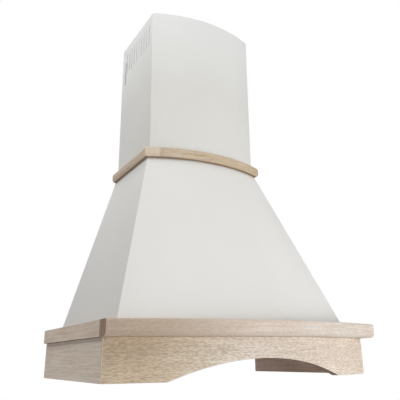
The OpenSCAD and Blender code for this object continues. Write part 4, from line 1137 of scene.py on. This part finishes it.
# %% [markdown]
# All the screws have pan heads with a cross recess. It could be pushed in with insets, but its arms
# taper. Two crossed tapered bars, cut out of the head by a Boolean, leave clean walls. The head is
# rounded with a bevel, and the shank's tip is drawn in.

# %% One screw
HEAD, HEAD_HIGH, SHANK = 4 * MM, 2 * MM, 2 * MM


def recess_bar(turned):
    nothing_picked()
    bpy.ops.mesh.primitive_cube_add(size=1, location=(0, 0, -1.7 * MM),
        scale=(4.4 * MM, 0.9 * MM, 2.2 * MM))
    bar = bpy.context.object
    bpy.ops.object.transform_apply()
    pick_faces(bar, lambda at, normal: normal.z > 0.9)
    bpy.ops.transform.resize(value=(0.45, 0.7, 1))
    object_mode()
    bar.rotation_euler = (0, 0, turned)
    return bar


def model_screw(length):
    head = round_bar(HEAD, -HEAD_HIGH, 0, (0, 0), 32)
    pick_edges(head, lambda a, b: max(a.z, b.z) < -1.9 * MM)
    bpy.ops.mesh.bevel(offset=1.1 * MM, segments=4)
    object_mode()
    bars = [recess_bar(turned) for turned in (0, math.pi / 2)]
    for bar in bars:
        recess = head.modifiers.new("recess", "BOOLEAN")
        recess.object = bar
        pick(head)
        bpy.ops.object.modifier_apply(modifier=recess.name)
    discard(*bars)
    shank = round_bar(SHANK, -0.1 * MM, length, (0, 0), 20)
    pick_faces(shank, lambda at, normal: normal.z > 0.9)
    extrude_up(0)
    bpy.ops.transform.resize(value=(0.6, 0.6, 1))
    object_mode()
    screw = join([head, shank])
    bpy.ops.object.transform_apply()
    smooth(screw, 40)
    return screw


# %% [markdown]
# A new screw takes each pin's place. It could be stretched to the pin's length, but its head would be
# too, so one is modelled for each length and copied. The pin's longest side tells which way it runs,
# and its head is at the end where points lie more than 3 mm off its axis.

# %% The screws in place
SHORT_PIN, PAST_SHANK = 10 * MM, 3 * MM
modelled = {}


def screw_of(length):
    key = round(length / MM, 1)
    if key not in modelled:
        modelled[key] = model_screw(length)
    return copied(modelled[key])


def set_screws(name, body):
    screws = []
    for low, high, points in screw_places(name):
        size, middle = high - low, (low + high) / 2
        along = max(range(3), key=lambda i: size[i])
        if size[along] < SHORT_PIN:
            along = 1
        others = [i for i in range(3) if i != along]
        start = [p for p in points if p[along] < low[along] + 0.5 * MM]
        head_low = max(math.hypot(*(p[i] - middle[i] for i in others)) for p in start) > PAST_SHANK
        screw = screw_of(size[along] - HEAD_HIGH)
        screw.location = middle
        screw.location[along] = low[along] + HEAD_HIGH if head_low else high[along] - HEAD_HIGH
        if along == 2:
            screw.rotation_euler = (0, 0, 0.4) if head_low else (math.pi, 0, 0.9)
        else:
            screw.rotation_euler = (-math.pi / 2 if head_low else math.pi / 2, 0, 0)
        screws.append(screw)
    for screw in screws:
        pick(screw)
        bpy.ops.object.transform_apply()
    settle(join(screws), name + "_cross", bright_zinc, body, [name])


set_screws("wood_screws", "hood")
set_screws("sheet_screws", "hood")
set_screws("chimney_screws", "chimney")
print("lengths of shank in mm:", sorted(modelled))
discard(*modelled.values())

# %% [markdown]
# A hood hangs on a wall, so the floor lies well below it. A square one would show its corners in some
# views, so it is a wide disc, nearly white and dull.

# %% The floor
nothing_picked()
bpy.ops.mesh.primitive_circle_add(vertices=96, radius=2.4, fill_type="NGON", location=(0, 0, -0.75))
floor = bpy.context.object
floor.name = "floor"
floor_paint, tree, shader = new_material("floor_paint")
cloud = noise(tree, node(tree, "ShaderNodeTexCoord").outputs["Object"], 2.0)
feed(tree, shader.inputs["Base Color"],
    blend_colour(tree, cloud, (0.86, 0.86, 0.86, 1), (0.89, 0.89, 0.89, 1)))
shader.inputs["Roughness"].default_value = 0.9
floor.data.materials.append(floor_paint)
print("floor:", round(floor.dimensions.x, 2), "m wide")
